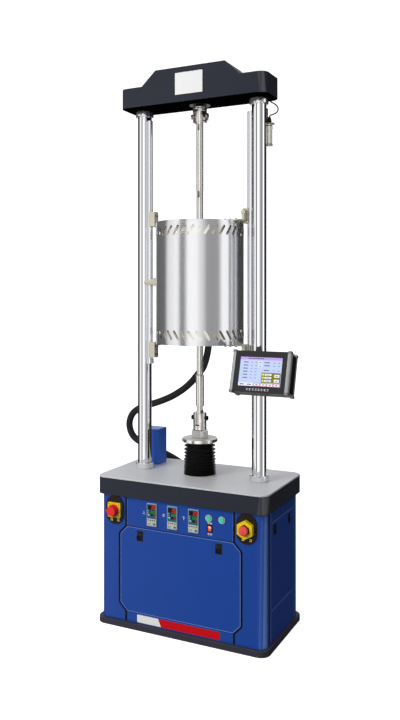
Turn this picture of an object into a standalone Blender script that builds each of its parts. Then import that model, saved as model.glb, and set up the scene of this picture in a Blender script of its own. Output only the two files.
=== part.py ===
"""Creep testing machine: two-column load frame, split tube furnace, load train, drive cabinet and panel.

Metres, +Z up. The origin is the centre of the plinth's underside, the front faces -Y, and the two
columns stand on the X axis. Each sub-part is one named object in world place. A piece that moves has
its origin on its joint's axis and hangs under an empty named after that joint.
"""

import math

import bmesh
import bpy
from mathutils import Matrix, Vector
from mathutils.geometry import interpolate_bezier

# Clearances
SEAT_GAP = 0.0003
SLIDE_GAP = 0.0004
RUNNING_GAP = 0.0008

# Steps round a turned piece
ROUND_STEPS = 32
ROD_STEPS = 20
SMALL_STEPS = 16
CORNER_STEPS = 6

# Base
TABLE_WIDTH = 0.784
TABLE_DEPTH = 0.432
TABLE_CORNER_RADIUS = 0.041
TABLE_TOP_Z = 0.629
TABLE_THICKNESS = 0.070
TOP_PLATE_THICKNESS = 0.006
PLINTH_HEIGHT = 0.025
EDGE_CHAMFER = 0.003
CABINET_INSET = 0.015
CABINET_WALL = 0.009

# Columns and crosshead
COLUMN_SPACING = 0.550
COLUMN_DIAMETER = 0.062
COLUMN_STUD_DIAMETER = 0.044
COLLAR_DIAMETER = 0.080
COLLAR_HEIGHT = 0.026
TABLE_STUD_LENGTH = 0.060
CROSSHEAD_STUD_LENGTH = 0.070
CROSSHEAD_WIDTH = 0.688
CROSSHEAD_FRONT_Y = -0.103
CROSSHEAD_BACK_Y = 0.065
CROSSHEAD_CORNER_RADIUS = 0.036
CROSSHEAD_BOTTOM_Z = 2.223
SHOULDER_HEIGHT = 0.085
HUMP_HEIGHT = 0.147
HUMP_FOOT_X = 0.232
HUMP_TOP_X = 0.164

# Panels of the cabinet
PANEL_THICKNESS = 0.006
PANEL_LIP = 0.014
BAY_HALF_WIDTH = 0.250
DOOR_HALF_WIDTH = 0.282
DOOR_TOP_Z = 0.427
DOOR_BOTTOM_Z = 0.066
DOOR_SHOULDER = 0.033
BAY_GROOVE = 0.005
THIN_SEAM = 0.0015
GROOVE_DEPTH = 0.003
SIDE_PANEL_HALF_WIDTH = 0.137
SIDE_PANEL_BOTTOM_Z = 0.152
SIDE_PANEL_TOP_Z = 0.502
LOUVRE_COUNT = 6
LOUVRE_MIDDLE_X = 0.150
LOUVRE_BOTTOM_Z = 0.110
LOUVRE_WIDTH = 0.130
LOUVRE_HEIGHT = 0.006
LOUVRE_PITCH = 0.020
LATCH_WIDTH = 0.028
LATCH_HEIGHT = 0.040
LATCH_DEPTH = 0.0035
LATCH_SLIDER_HEIGHT = 0.020
LATCH_SLIDER_PROUD = 0.001
LATCH_CLEARANCE = 0.0006
FRONT_LATCH_X = 0.182
FRONT_LATCH_Z = 0.392
SIDE_LATCH_Y = 0.085
SIDE_LATCH_Z = 0.466

# Controls on the front
CONTROL_Z = 0.489
SWITCH_X = 0.303
SWITCH_PLATE_WIDTH = 0.088
SWITCH_PLATE_HEIGHT = 0.122
SWITCH_PLATE_THICKNESS = 0.004
SWITCH_SQUARE = 0.062
SWITCH_SQUARE_THICKNESS = 0.008
KNOB_DIAMETER = 0.050
KNOB_HEIGHT = 0.026
GUARD_ACROSS = 0.074
GUARD_BORE = 0.046
GUARD_HEIGHT = 0.020
STOP_BUTTON_DIAMETER = 0.040
STOP_BUTTON_TRAVEL = 0.005
STOP_STEM_HEIGHT = 0.012
STOP_SPINDLE_DIAMETER = 0.018
CONTROLLER_WIDTH = 0.048
CONTROLLER_HEIGHT = 0.096
CONTROLLER_BEZEL = 0.006
CONTROLLER_DEPTH = 0.075
CONTROLLER_XS = (-0.122, -0.0255, 0.0715)
BUTTON_XS = (0.1395, 0.197)
BUTTON_Z = 0.509
BUTTON_BEZEL_DIAMETER = 0.030
BUTTON_CAP_DIAMETER = 0.022
BUTTON_BEZEL_HEIGHT = 0.004
BUTTON_PROUD = 0.003
ROCKER_X = 0.143
ROCKER_Z = 0.468
ROCKER_WIDTH = 0.014
ROCKER_HEIGHT = 0.022

# Load train
FLANGE_DIAMETER = 0.154
FLANGE_BOTTOM_Z = 0.7716
FLANGE_THICKNESS = 0.0156
TRAIN_NUT_ACROSS_CORNERS = 0.080
TRAIN_NUT_TOP_Z = 0.822
CLEVIS_DIAMETER = 0.058
CLEVIS_TOP_Z = 0.897
CLEVIS_SLOT = 0.020
CLEVIS_SLOT_BOTTOM_Z = 0.840
LOWER_PIN_Z = 0.873
PIN_DIAMETER = 0.012
PIN_HEAD_DIAMETER = 0.021
PIN_HEAD_LENGTH = 0.008
LOWER_NECK_DIAMETER = 0.025
LOWER_NECK_TOP_Z = 0.923
WIDE_ROD_DIAMETER = 0.036
WIDE_ROD_TOP_Z = 1.060
THIN_ROD_DIAMETER = 0.028
LOWER_GRIP_TOP_Z = 1.405
UPPER_GRIP_BOTTOM_Z = 1.505
GRIP_DIAMETER = 0.040
GRIP_LENGTH = 0.046
GRIP_SOCKET_DIAMETER = 0.016
GRIP_SOCKET_DEPTH = 0.030
UPPER_PIN_Z = 2.177
UPPER_CLEVIS_DIAMETER = 0.062
UPPER_CLEVIS_BOTTOM_Z = 2.1475
UPPER_CLEVIS_ROOT_Z = 2.202
UPPER_CLEVIS_SLOT = 0.041
ROD_HEAD_DIAMETER = 0.039
ROD_HEAD_TOP_Z = 2.198
UPPER_ROD_DIAMETER = 0.029
UPPER_JOINT_Z = 1.858
COTTER_SLOT_WIDTH = 0.008
COTTER_SLOT_HEIGHT = 0.023
COTTER_SLOT_ZS = (2.128, 1.838)
LOAD_CELL_DIAMETER = 0.092
LOAD_CELL_HEIGHT = 0.040
LOAD_CELL_BOSS_DIAMETER = 0.036
LOAD_CELL_BOSS_HEIGHT = 0.004
BELLOWS_DIAMETER = 0.133
BELLOWS_FOLD_DEPTH = 0.010
BELLOWS_WALL = 0.003
BELLOWS_FOLDS = 13
BELLOWS_STRETCH = 1.6

# Drive under the table
TUBE_DIAMETER = 0.080
TUBE_BORE = 0.058
TUBE_BOTTOM_Z = 0.320
GUIDE_BORE = 0.093
NUT_BOTTOM_Z = 0.270
SCREW_DIAMETER = 0.032
SCREW_TOP_Z = 0.560
SCREW_JOURNAL_DIAMETER = 0.025
SCREW_COLLAR_DIAMETER = 0.044
BEARING_TOP_Z = 0.190
HOUSING_DIAMETER = 0.120
HOUSING_BOTTOM_Z = 0.138
HOUSING_FLANGE_DIAMETER = 0.200
HOUSING_FLANGE_THICKNESS = 0.012
DRIVE_PLATE_THICKNESS = 0.012
DRIVE_PLATE_HALF_DEPTH = 0.085
MOTOR_X = 0.185
MOTOR_SIZE = 0.086
REDUCER_HEIGHT = 0.100
MOTOR_HEIGHT = 0.130
MOTOR_SHAFT_DIAMETER = 0.019
PULLEY_BOTTOM_Z = 0.084
PULLEY_HEIGHT = 0.030
PULLEY_FLANGE = 0.003
SCREW_PULLEY_DIAMETER = 0.100
MOTOR_PULLEY_DIAMETER = 0.050
BELT_THICKNESS = 0.003

# Guide rods and furnace
GUIDE_ROD_DIAMETER = 0.025
GUIDE_ROD_BOTTOM_Z = 1.100
GUIDE_ROD_TOP_Z = 2.176
GUIDE_ROD_ANGLES_DEG = (-28.6, 167.4)
GUIDE_STOP_DIAMETER = 0.033
GUIDE_STOP_HEIGHT = 0.022
FURNACE_DIAMETER = 0.382
FURNACE_BOTTOM_Z = 1.195
FURNACE_HEIGHT = 0.521
FURNACE_WALL = 0.002
FURNACE_END_HOLE_DIAMETER = 0.080
FURNACE_STEPS = 36
FURNACE_SPLIT_GAP = 0.0003
SLOT_PITCH_DEG = 10.0
SLOT_WIDTH = 0.0110
SLOT_HEIGHT = 0.041
SLOT_LEAN_DEG = 32.0
SLOT_END_MARGIN = 0.0225
SLOT_END_STEPS = 4
LINING_DIAMETER = 0.330
HEATER_DIAMETER = 0.096
HEATER_BORE = 0.080
HEATER_INSET = 0.015
BLOCK_HALF_DEPTH = 0.019
BLOCK_HEIGHT = 0.064
BLOCK_CLEARANCE = 0.012
BLOCK_DEPTH = 0.035
BLOCK_SET_BACK = 0.005
PLATE_SET_BACK = 0.007
TOP_BLOCK_DROP = 0.010
ARM_THICKNESS = 0.0055
ARM_FRONT_Y = 0.004
ARM_BACK_Y = 0.034
HINGE_X = 0.2125
HINGE_Y = -0.016
HINGE_PIN_DIAMETER = 0.008
HINGE_EYE_DIAMETER = 0.018
HINGE_LUG_THICKNESS = 0.012
HINGE_EYE_HEIGHT = 0.028
HINGE_CAP_DIAMETER = 0.016
FRONT_ARM_END_X = 0.120
LATCH_Z = 1.4595
LATCH_ANGLE_DEG = 197.0
LATCH_REACH = 0.058
BRIDGE_FRONT_Y = 0.044
BRIDGE_BACK_Y = 0.074
BRIDGE_HALF_WIDTH = 0.100
HANDLE_HEIGHT = 0.028
TERMINAL_WIDTH = 0.090
TERMINAL_X = -0.060
TERMINAL_BOTTOM_Z = 1.235
TERMINAL_HEIGHT = 0.170
TERMINAL_BACK_Y = 0.242
TERMINAL_FRONT_Y = 0.166
THERMOCOUPLE_ZS = (1.320, 1.4555, 1.591)
THERMOCOUPLE_DIAMETER = 0.006
THERMOCOUPLE_HEAD_DIAMETER = 0.022
THERMOCOUPLE_HEAD_LENGTH = 0.024
THERMOCOUPLE_STRIP_WIDTH = 0.026
THERMOCOUPLE_STRIP_THICKNESS = 0.006

# Hose
HOSE_DIAMETER = 0.032
GLAND_DIAMETER = 0.044
FURNACE_GLAND_Y = 0.215
CABINET_GLAND_X = -0.125
CABINET_GLAND_Y = 0.240
CABINET_GLAND_Z = 0.470
ELBOW_SIZE = 0.046

# Panel on the right column
PANEL_WIDTH = 0.245
PANEL_HEIGHT = 0.172
PANEL_DEPTH = 0.082
PANEL_OFFSET_X = 0.072
PANEL_PIVOT_Y = -0.078
PANEL_PIVOT_Z = 1.078
PANEL_BACK_GAP = 0.014
PANEL_RISE = -0.003
PANEL_TILT_DEG = 17.0
RAIL_WIDTH = 0.013
RAIL_DEPTH = 0.020
RAIL_PROUD = 0.003
SCREEN_WIDTH = 0.178
SCREEN_HEIGHT = 0.118
SCREEN_RECESS = 0.0015
CLAMP_BOTTOM_Z = 1.050
CLAMP_HEIGHT = 0.042
CLAMP_WALL = 0.012
PIVOT_BARREL_DIAMETER = 0.018
PIVOT_BARREL_LENGTH = 0.046
PIVOT_PIN_DIAMETER = 0.008
PIVOT_EAR_THICKNESS = 0.009

# Small pieces on the table and on the right column
BOX_WIDTH = 0.079
BOX_DEPTH = 0.081
BOX_SIDE_INSET = 0.067
BOX_BACK_INSET = 0.064
BOX_HEIGHT = 0.161
SENSOR_OFFSET_X = 0.034
SENSOR_Y = 0.032
SENSOR_DIAMETER = 0.026
SENSOR_DROP = 0.105
SENSOR_LENGTH = 0.091
SENSOR_RING = 0.006
BRACKET_THICKNESS = 0.005
BRACKET_WIDTH = 0.026
BRACKET_RISE = 0.070
SENSOR_CABLE_DIAMETER = 0.0055

# Worked-out places
COLUMN_X = COLUMN_SPACING / 2
COLUMN_RADIUS = COLUMN_DIAMETER / 2
PANEL_CENTRE_X = COLUMN_X + PANEL_OFFSET_X
SENSOR_X = COLUMN_X + SENSOR_OFFSET_X
SENSOR_TOP_Z = CROSSHEAD_BOTTOM_Z - SENSOR_DROP
BOX_LOW_X = BOX_SIDE_INSET - TABLE_WIDTH / 2
BOX_HIGH_X = BOX_LOW_X + BOX_WIDTH
BOX_HIGH_Y = TABLE_DEPTH / 2 - BOX_BACK_INSET
BOX_LOW_Y = BOX_HIGH_Y - BOX_DEPTH
TABLE_PLATE_BOTTOM_Z = TABLE_TOP_Z - TOP_PLATE_THICKNESS
TABLE_HIGH_Z = TABLE_PLATE_BOTTOM_Z - SEAT_GAP
TABLE_LOW_Z = TABLE_HIGH_Z - TABLE_THICKNESS
CABINET_LOW_Z = PLINTH_HEIGHT + SEAT_GAP
CABINET_HIGH_Z = TABLE_LOW_Z - SEAT_GAP
CABINET_WIDTH = TABLE_WIDTH - 2 * CABINET_INSET
CABINET_DEPTH = TABLE_DEPTH - 2 * CABINET_INSET
CABINET_CORNER_RADIUS = TABLE_CORNER_RADIUS - CABINET_INSET / 2
FRONT_Y = -CABINET_DEPTH / 2
REAR_Y = CABINET_DEPTH / 2
SIDE_X = CABINET_WIDTH / 2
POCKET_DEPTH = PANEL_THICKNESS + SEAT_GAP
SHOULDER_Z = CROSSHEAD_BOTTOM_Z + SHOULDER_HEIGHT
HUMP_Z = CROSSHEAD_BOTTOM_Z + HUMP_HEIGHT
FLANGE_TOP_Z = FLANGE_BOTTOM_Z + FLANGE_THICKNESS
FURNACE_RADIUS = FURNACE_DIAMETER / 2
FURNACE_TOP_Z = FURNACE_BOTTOM_Z + FURNACE_HEIGHT
GUIDE_OFFSET = COLUMN_RADIUS + GUIDE_ROD_DIAMETER / 2 + SEAT_GAP
BLOCK_BOTTOM_Z = GUIDE_ROD_BOTTOM_Z + GUIDE_STOP_HEIGHT + 0.006
PULLEY_TOP_Z = PULLEY_BOTTOM_Z + PULLEY_HEIGHT

# The hose's route from the furnace gland to the elbow on the cabinet
HOSE_ROUTE = (
    (-0.060, 0.215, 1.2147),
    (-0.060, 0.215, 1.202),
    (-0.060, 0.215, 1.190),
    (-0.063, 0.215, 1.155),
    (-0.074, 0.218, 1.110),
    (-0.093, 0.222, 1.065),
    (-0.122, 0.224, 1.032),
    (-0.154, 0.225, 0.996),
    (-0.198, 0.226, 0.959),
    (-0.255, 0.226, 0.924),
    (-0.306, 0.226, 0.901),
    (-0.358, 0.226, 0.882),
    (-0.402, 0.226, 0.869),
    (-0.444, 0.226, 0.850),
    (-0.476, 0.228, 0.825),
    (-0.4955, 0.232, 0.790),
    (-0.498, 0.236, 0.753),
    (-0.484, 0.240, 0.717),
    (-0.452, 0.243, 0.692),
    (-0.400, 0.245, 0.673),
    (-0.347, 0.245, 0.656),
    (-0.294, 0.245, 0.638),
    (-0.241, 0.244, 0.616),
    (-0.196, 0.242, 0.590),
    (-0.158, 0.240, 0.567),
    (-0.134, 0.240, 0.543),
    (-0.125, 0.240, 0.520),
    (-0.125, 0.240, 0.507),
    (-0.125, 0.240, 0.4937),
)
HOSE_POINTS = 70

# The sensor cable's route from the sensor's top to the crosshead's underside
SENSOR_CABLE_ROUTE = (
    (SENSOR_X, SENSOR_Y, SENSOR_TOP_Z + 0.0315),
    (SENSOR_X + 0.002, SENSOR_Y, SENSOR_TOP_Z + 0.040),
    (SENSOR_X + 0.013, SENSOR_Y + 0.001, SENSOR_TOP_Z + 0.048),
    (SENSOR_X + 0.022, SENSOR_Y + 0.004, SENSOR_TOP_Z + 0.059),
    (SENSOR_X + 0.021, SENSOR_Y + 0.009, SENSOR_TOP_Z + 0.073),
    (SENSOR_X + 0.009, SENSOR_Y + 0.013, SENSOR_TOP_Z + 0.085),
    (SENSOR_X - 0.001, SENSOR_Y + 0.015, SENSOR_TOP_Z + 0.094),
    (SENSOR_X - 0.003, SENSOR_Y + 0.015, CROSSHEAD_BOTTOM_Z - SEAT_GAP),
)
SENSOR_CABLE_POINTS = 26


def clear_scene():
    """Remove every object of the opening scene."""
    for item in list(bpy.data.objects):
        bpy.data.objects.remove(item, do_unlink=True)


def make_material(name, colour, roughness, metallic):
    """Return a Principled material, made once for each name."""
    if name in bpy.data.materials:
        return bpy.data.materials[name]
    material = bpy.data.materials.new(name)
    material.use_nodes = True
    shader = material.node_tree.nodes["Principled BSDF"]
    shader.inputs["Base Color"].default_value = (*colour, 1.0)
    shader.inputs["Roughness"].default_value = roughness
    shader.inputs["Metallic"].default_value = metallic
    return material


def finishes():
    """Return the finishes of the machine by name."""
    table = {
        "blue_paint": ((0.019, 0.055, 0.292), 0.45, 0.0),
        "dark_paint": ((0.031, 0.033, 0.047), 0.45, 0.0),
        "brushed_steel": ((0.55, 0.56, 0.57), 0.35, 1.0),
        "chrome": ((0.80, 0.80, 0.82), 0.08, 1.0),
        "polished_steel": ((0.75, 0.75, 0.76), 0.18, 1.0),
        "machined_steel": ((0.50, 0.50, 0.48), 0.30, 1.0),
        "black_oxide": ((0.03, 0.03, 0.03), 0.50, 0.6),
        "ceramic": ((0.82, 0.77, 0.66), 0.90, 0.0),
        "cream_paint": ((0.72, 0.70, 0.60), 0.55, 0.0),
        "black_rubber": ((0.010, 0.010, 0.011), 0.60, 0.0),
        "black_plastic": ((0.015, 0.015, 0.016), 0.40, 0.0),
        "red_plastic": ((0.75, 0.02, 0.02), 0.30, 0.0),
        "green_plastic": ((0.05, 0.60, 0.42), 0.30, 0.0),
        "grey_plastic": ((0.42, 0.44, 0.42), 0.45, 0.0),
        "zinc": ((0.55, 0.50, 0.38), 0.40, 1.0),
    }
    return {name: make_material(name, *values) for name, values in table.items()}


def placed(axis, u, v, level):
    """Return the point whose outline place is (u, v) at a level along the axis."""
    if axis == "X":
        return Vector((level, u, v))
    if axis == "Y":
        return Vector((u, level, v))
    return Vector((u, v, level))


def rectangle(low_u, high_u, low_v, high_v):
    """Return a rectangle's corners."""
    return [(low_u, low_v), (high_u, low_v), (high_u, high_v), (low_u, high_v)]


def rounded_rectangle(width, depth, radius, centre=(0.0, 0.0), steps=CORNER_STEPS):
    """Return a rectangle's outline with round corners."""
    points = []
    corners = ((1, 1, 0.0), (-1, 1, 90.0), (-1, -1, 180.0), (1, -1, 270.0))
    for side_u, side_v, start in corners:
        middle_u = centre[0] + side_u * (width / 2 - radius)
        middle_v = centre[1] + side_v * (depth / 2 - radius)
        for step in range(steps + 1):
            angle = math.radians(start + 90.0 * step / steps)
            points.append((middle_u + radius * math.cos(angle), middle_v + radius * math.sin(angle)))
    return points


def ring(radius, steps, centre=(0.0, 0.0), start_deg=0.0):
    """Return a regular outline of points on a circle."""
    points = []
    for step in range(steps):
        angle = math.radians(start_deg + 360.0 * step / steps)
        points.append((centre[0] + radius * math.cos(angle), centre[1] + radius * math.sin(angle)))
    return points


def extrude(bm, outline, low, high, axis="Z"):
    """Add a closed prism: the outline as a face, extruded from low to high along the axis."""
    corners = [bm.verts.new(placed(axis, u, v, low)) for u, v in outline]
    face = bm.faces.new(corners)
    grown = bmesh.ops.extrude_face_region(bm, geom=[face])
    moved = [item for item in grown["geom"] if isinstance(item, bmesh.types.BMVert)]
    bmesh.ops.translate(bm, vec=placed(axis, 0.0, 0.0, high - low), verts=moved)


def bridge_sections(bm, sections, axis="Z"):
    """Add a closed solid through sections of (outline, level), each with as many points."""
    loops = []
    for outline, level in sections:
        loops.append([bm.verts.new(placed(axis, u, v, level)) for u, v in outline])
    bm.faces.new(loops[0])
    bm.faces.new(loops[-1])
    for lower, upper in zip(loops, loops[1:]):
        for index in range(len(lower)):
            after = (index + 1) % len(lower)
            bm.faces.new((lower[index], lower[after], upper[after], upper[index]))


def turn(bm, profile, steps=ROUND_STEPS, axis="Z", centre=(0.0, 0.0), start_deg=0.0, sweep_deg=360.0):
    """Add a turned solid from a profile of (radius, level).

    A profile that starts and ends on the axis is an open chain, and any other is a closed loop.
    """
    open_chain = profile[0][0] == 0.0 and profile[-1][0] == 0.0
    whole = sweep_deg == 360.0
    start = math.radians(start_deg)
    points = [
        bm.verts.new(placed(axis, centre[0] + r * math.cos(start), centre[1] + r * math.sin(start), level))
        for r, level in profile
    ]
    pairs = list(zip(points, points[1:]))
    if not open_chain:
        pairs.append((points[-1], points[0]))
    edges = [bm.edges.new(pair) for pair in pairs]
    direction = placed(axis, 0.0, 0.0, 1.0)
    turn_sign = -1.0 if axis == "Y" else 1.0
    spun = bmesh.ops.spin(
        bm,
        geom=points + edges,
        cent=placed(axis, centre[0], centre[1], 0.0),
        axis=direction,
        dvec=Vector((0.0, 0.0, 0.0)),
        angle=turn_sign * math.radians(sweep_deg),
        steps=steps,
        use_merge=whole,
    )
    bmesh.ops.remove_doubles(bm, verts=bm.verts[:], dist=0.000002)
    if not whole:
        borders = [edge for edge in bm.edges if edge.is_boundary]
        bmesh.ops.holes_fill(bm, edges=borders, sides=0)
    return spun


def cylinder(bm, radius, low, high, axis="Z", centre=(0.0, 0.0), steps=SMALL_STEPS, start_deg=0.0):
    """Add a plain round bar."""
    extrude(bm, ring(radius, steps, centre, start_deg), low, high, axis)


def block(bm, low, high):
    """Add a box between two corners."""
    extrude(bm, rectangle(low[0], high[0], low[1], high[1]), low[2], high[2])


def finished_mesh(bm, name):
    """Return the mesh of a bmesh, its faces pointing out."""
    bmesh.ops.recalc_face_normals(bm, faces=bm.faces[:])
    mesh = bpy.data.meshes.new(name)
    bm.to_mesh(mesh)
    bm.free()
    return mesh


def add_piece(name, bm, material):
    """Add a named object from a bmesh in world place."""
    piece = bpy.data.objects.new(name, finished_mesh(bm, name))
    piece.data.materials.append(material)
    bpy.context.scene.collection.objects.link(piece)
    return piece


def carve(piece, bm, operation="DIFFERENCE"):
    """Cut, join or intersect a piece with the solids of a bmesh."""
    tool = bpy.data.objects.new("tool", finished_mesh(bm, "tool"))
    bpy.context.scene.collection.objects.link(tool)
    tool.hide_render = True
    tool.display_type = "WIRE"
    change = piece.modifiers.new("carve", "BOOLEAN")
    change.operation = operation
    change.solver = "EXACT"
    change.object = tool
    bpy.context.view_layer.update()
    state = bpy.context.evaluated_depsgraph_get()
    result = bpy.data.meshes.new_from_object(piece.evaluated_get(state))
    piece.modifiers.clear()
    piece.data = result
    bpy.data.objects.remove(tool, do_unlink=True)
    tidy = bmesh.new()
    tidy.from_mesh(result)
    bmesh.ops.remove_doubles(tidy, verts=tidy.verts[:], dist=0.000002)
    bmesh.ops.dissolve_degenerate(tidy, edges=tidy.edges[:], dist=0.000002)
    tidy.to_mesh(result)
    tidy.free()


def joint_frame(name, place, parent=None):
    """Add an empty on a joint's axis."""
    frame = bpy.data.objects.new(name, None)
    frame.empty_display_size = 0.05
    bpy.context.scene.collection.objects.link(frame)
    frame.location = Vector(place)
    if parent is not None:
        frame.location = Vector(place) - parent.matrix_world.translation
        frame.parent = parent
    bpy.context.view_layer.update()
    return frame


def hang(pieces, frame):
    """Move the origins of pieces to a joint's empty and parent them to it."""
    place = frame.matrix_world.translation.copy()
    for piece in pieces:
        piece.data.transform(Matrix.Translation(-place))
        piece.parent = frame


def shade_all():
    """Shade every mesh smooth, with sharp edges where faces meet at an angle."""
    for piece in bpy.data.objects:
        if piece.type == "MESH":
            piece.data.shade_smooth()
            piece.data.set_sharp_from_angle(angle=math.radians(32.0))


def guide_places():
    """Return the plan places of the left and right guide rods, each touching its column."""
    places = []
    for side, angle_deg in zip((-1, 1), GUIDE_ROD_ANGLES_DEG):
        angle = math.radians(angle_deg)
        x = side * COLUMN_X + GUIDE_OFFSET * math.cos(angle)
        places.append((x, GUIDE_OFFSET * math.sin(angle)))
    return places


def cut_corner_edges(outline_width, outline_depth, radius, low, high, chamfer):
    """Return the sections of a rounded slab with its upper edge chamfered."""
    full = rounded_rectangle(outline_width, outline_depth, radius)
    small = rounded_rectangle(outline_width - 2 * chamfer, outline_depth - 2 * chamfer, radius - chamfer)
    return [(full, low), (full, high - chamfer), (small, high)]


def make_plinth(paint):
    """Base plate that the cabinet stands on."""
    bm = bmesh.new()
    slab = cut_corner_edges(
        TABLE_WIDTH, TABLE_DEPTH, TABLE_CORNER_RADIUS, 0.0, PLINTH_HEIGHT, EDGE_CHAMFER)
    bridge_sections(bm, slab)
    return add_piece("plinth", bm, paint)


def make_table(paint):
    """Thick table with its bores for the columns and the actuator tube."""
    bm = bmesh.new()
    outline = rounded_rectangle(TABLE_WIDTH, TABLE_DEPTH, TABLE_CORNER_RADIUS)
    extrude(bm, outline, TABLE_LOW_Z, TABLE_HIGH_Z)
    table = add_piece("table", bm, paint)
    carve(table, table_bores())
    return table


def table_bores():
    """Return the cutters of the table and its top plate: blind stud bores and the tube's way through."""
    bm = bmesh.new()
    high = TABLE_TOP_Z + 0.01
    stud = COLUMN_STUD_DIAMETER / 2 + SEAT_GAP
    stud_low = TABLE_TOP_Z - TABLE_STUD_LENGTH - SEAT_GAP
    for side in (-1, 1):
        cylinder(bm, stud, stud_low, high, "Z", (side * COLUMN_X, 0.0), ROUND_STEPS)
    cylinder(bm, GUIDE_BORE / 2, TABLE_LOW_Z - 0.01, high, "Z", (0.0, 0.0), ROUND_STEPS)
    return bm


def make_top_plate(steel):
    """Brushed plate that covers the table."""
    bm = bmesh.new()
    slab = cut_corner_edges(
        TABLE_WIDTH, TABLE_DEPTH, TABLE_CORNER_RADIUS, TABLE_PLATE_BOTTOM_Z, TABLE_TOP_Z, EDGE_CHAMFER / 2)
    bridge_sections(bm, slab)
    plate = add_piece("table_top_plate", bm, steel)
    carve(plate, table_bores())
    return plate


def door_outline(margin):
    """Return the front door's outline, wider in the middle, shrunk by a margin at its sides and ends."""
    narrow = BAY_HALF_WIDTH
    wide = DOOR_HALF_WIDTH
    side = margin[0]
    end = margin[1]
    low = DOOR_BOTTOM_Z + end
    high = DOOR_TOP_Z - end
    knee = DOOR_SHOULDER
    right = [
        (narrow - side, low),
        (wide - side, low + knee),
        (wide - side, high - knee),
        (narrow - side, high),
    ]
    left = [(-x, z) for x, z in reversed(right)]
    return right + left


def control_panel_outline(margin):
    """Return the instrument strip's outline above the door."""
    half = BAY_HALF_WIDTH - margin[0]
    return rectangle(-half, half, DOOR_TOP_Z + margin[1], CABINET_HIGH_Z - margin[1])


def side_panel_outline(margin):
    """Return a side panel's outline."""
    half = SIDE_PANEL_HALF_WIDTH - margin
    return rectangle(-half, half, SIDE_PANEL_BOTTOM_Z + margin, SIDE_PANEL_TOP_Z - margin)


def add_louvres(bm):
    """Add the cutters of the rear wall's louvres, in two stacks."""
    for side in (-1, 1):
        middle = side * LOUVRE_MIDDLE_X
        for index in range(LOUVRE_COUNT):
            low = LOUVRE_BOTTOM_Z + index * LOUVRE_PITCH
            slot = rectangle(middle - LOUVRE_WIDTH / 2, middle + LOUVRE_WIDTH / 2, low, low + LOUVRE_HEIGHT)
            extrude(bm, slot, REAR_Y - 0.02, REAR_Y + 0.02, "Y")


def add_elbow(cabinet):
    """Join the hose's elbow and its upright collar to the rear wall."""
    elbow = bmesh.new()
    half = ELBOW_SIZE / 2
    block(elbow, (CABINET_GLAND_X - half, REAR_Y - 0.001, CABINET_GLAND_Z - half),
          (CABINET_GLAND_X + half, CABINET_GLAND_Y + half, CABINET_GLAND_Z))
    carve(cabinet, elbow, "UNION")
    collar = bmesh.new()
    cylinder(collar, GLAND_DIAMETER / 2, CABINET_GLAND_Z - 0.005, HOSE_ROUTE[-1][2] - SEAT_GAP, "Z",
             (CABINET_GLAND_X, CABINET_GLAND_Y), SMALL_STEPS)
    carve(cabinet, collar, "UNION")


def make_cabinet(paint):
    """Sheet cabinet with recessed openings for its door, strips and panels."""
    bm = bmesh.new()
    outline = rounded_rectangle(CABINET_WIDTH, CABINET_DEPTH, CABINET_CORNER_RADIUS)
    extrude(bm, outline, CABINET_LOW_Z, CABINET_HIGH_Z)
    cabinet = add_piece("cabinet_shell", bm, paint)
    inner_radius = CABINET_CORNER_RADIUS - CABINET_WALL
    hollow = bmesh.new()
    inner = rounded_rectangle(CABINET_WIDTH - 2 * CABINET_WALL, CABINET_DEPTH - 2 * CABINET_WALL, inner_radius)
    extrude(hollow, inner, CABINET_LOW_Z - 0.01, CABINET_HIGH_Z + 0.01)
    carve(cabinet, hollow)
    pockets = bmesh.new()
    extrude(pockets, door_outline((0.0, 0.0)), FRONT_Y - 0.01, FRONT_Y + POCKET_DEPTH, "Y")
    extrude(pockets, side_panel_outline(0.0), SIDE_X - POCKET_DEPTH, SIDE_X + 0.01, "X")
    extrude(pockets, side_panel_outline(0.0), -SIDE_X - 0.01, -SIDE_X + POCKET_DEPTH, "X")
    carve(cabinet, pockets)
    strip = bmesh.new()
    half = BAY_HALF_WIDTH
    extrude(strip, rectangle(-half, half, DOOR_TOP_Z, CABINET_HIGH_Z + 0.01), FRONT_Y - 0.01,
            FRONT_Y + POCKET_DEPTH, "Y")
    carve(cabinet, strip)
    through = bmesh.new()
    lip = PANEL_LIP
    extrude(through, door_outline((lip, lip)), FRONT_Y - 0.01, FRONT_Y + 0.02, "Y")
    extrude(through, control_panel_outline((lip, lip)), FRONT_Y - 0.01, FRONT_Y + 0.02, "Y")
    extrude(through, side_panel_outline(lip), SIDE_X - 0.02, SIDE_X + 0.01, "X")
    extrude(through, side_panel_outline(lip), -SIDE_X - 0.01, -SIDE_X + 0.02, "X")
    add_louvres(through)
    carve(cabinet, through)
    carve(cabinet, cabinet_grooves())
    add_elbow(cabinet)
    return cabinet


def cabinet_grooves():
    """Return the cutters of the grooves that run on past the door and the side panels."""
    bm = bmesh.new()
    for side in (-1, 1):
        inner = side * (BAY_HALF_WIDTH - BAY_GROOVE)
        outer = side * BAY_HALF_WIDTH
        groove = rectangle(min(inner, outer), max(inner, outer), CABINET_LOW_Z - 0.01, DOOR_BOTTOM_Z + 0.001)
        extrude(bm, groove, FRONT_Y - 0.01, FRONT_Y + GROOVE_DEPTH, "Y")
        depth = side * (SIDE_X - GROOVE_DEPTH)
        beyond = side * (SIDE_X + 0.01)
        for edge in (-1, 1):
            far = edge * SIDE_PANEL_HALF_WIDTH
            near = edge * (SIDE_PANEL_HALF_WIDTH - THIN_SEAM)
            spans = ((CABINET_LOW_Z - 0.01, SIDE_PANEL_BOTTOM_Z + 0.001),
                     (SIDE_PANEL_TOP_Z - 0.001, CABINET_HIGH_Z + 0.01))
            for low, high in spans:
                line = rectangle(min(near, far), max(near, far), low, high)
                extrude(bm, line, min(depth, beyond), max(depth, beyond), "X")
    return bm


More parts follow.
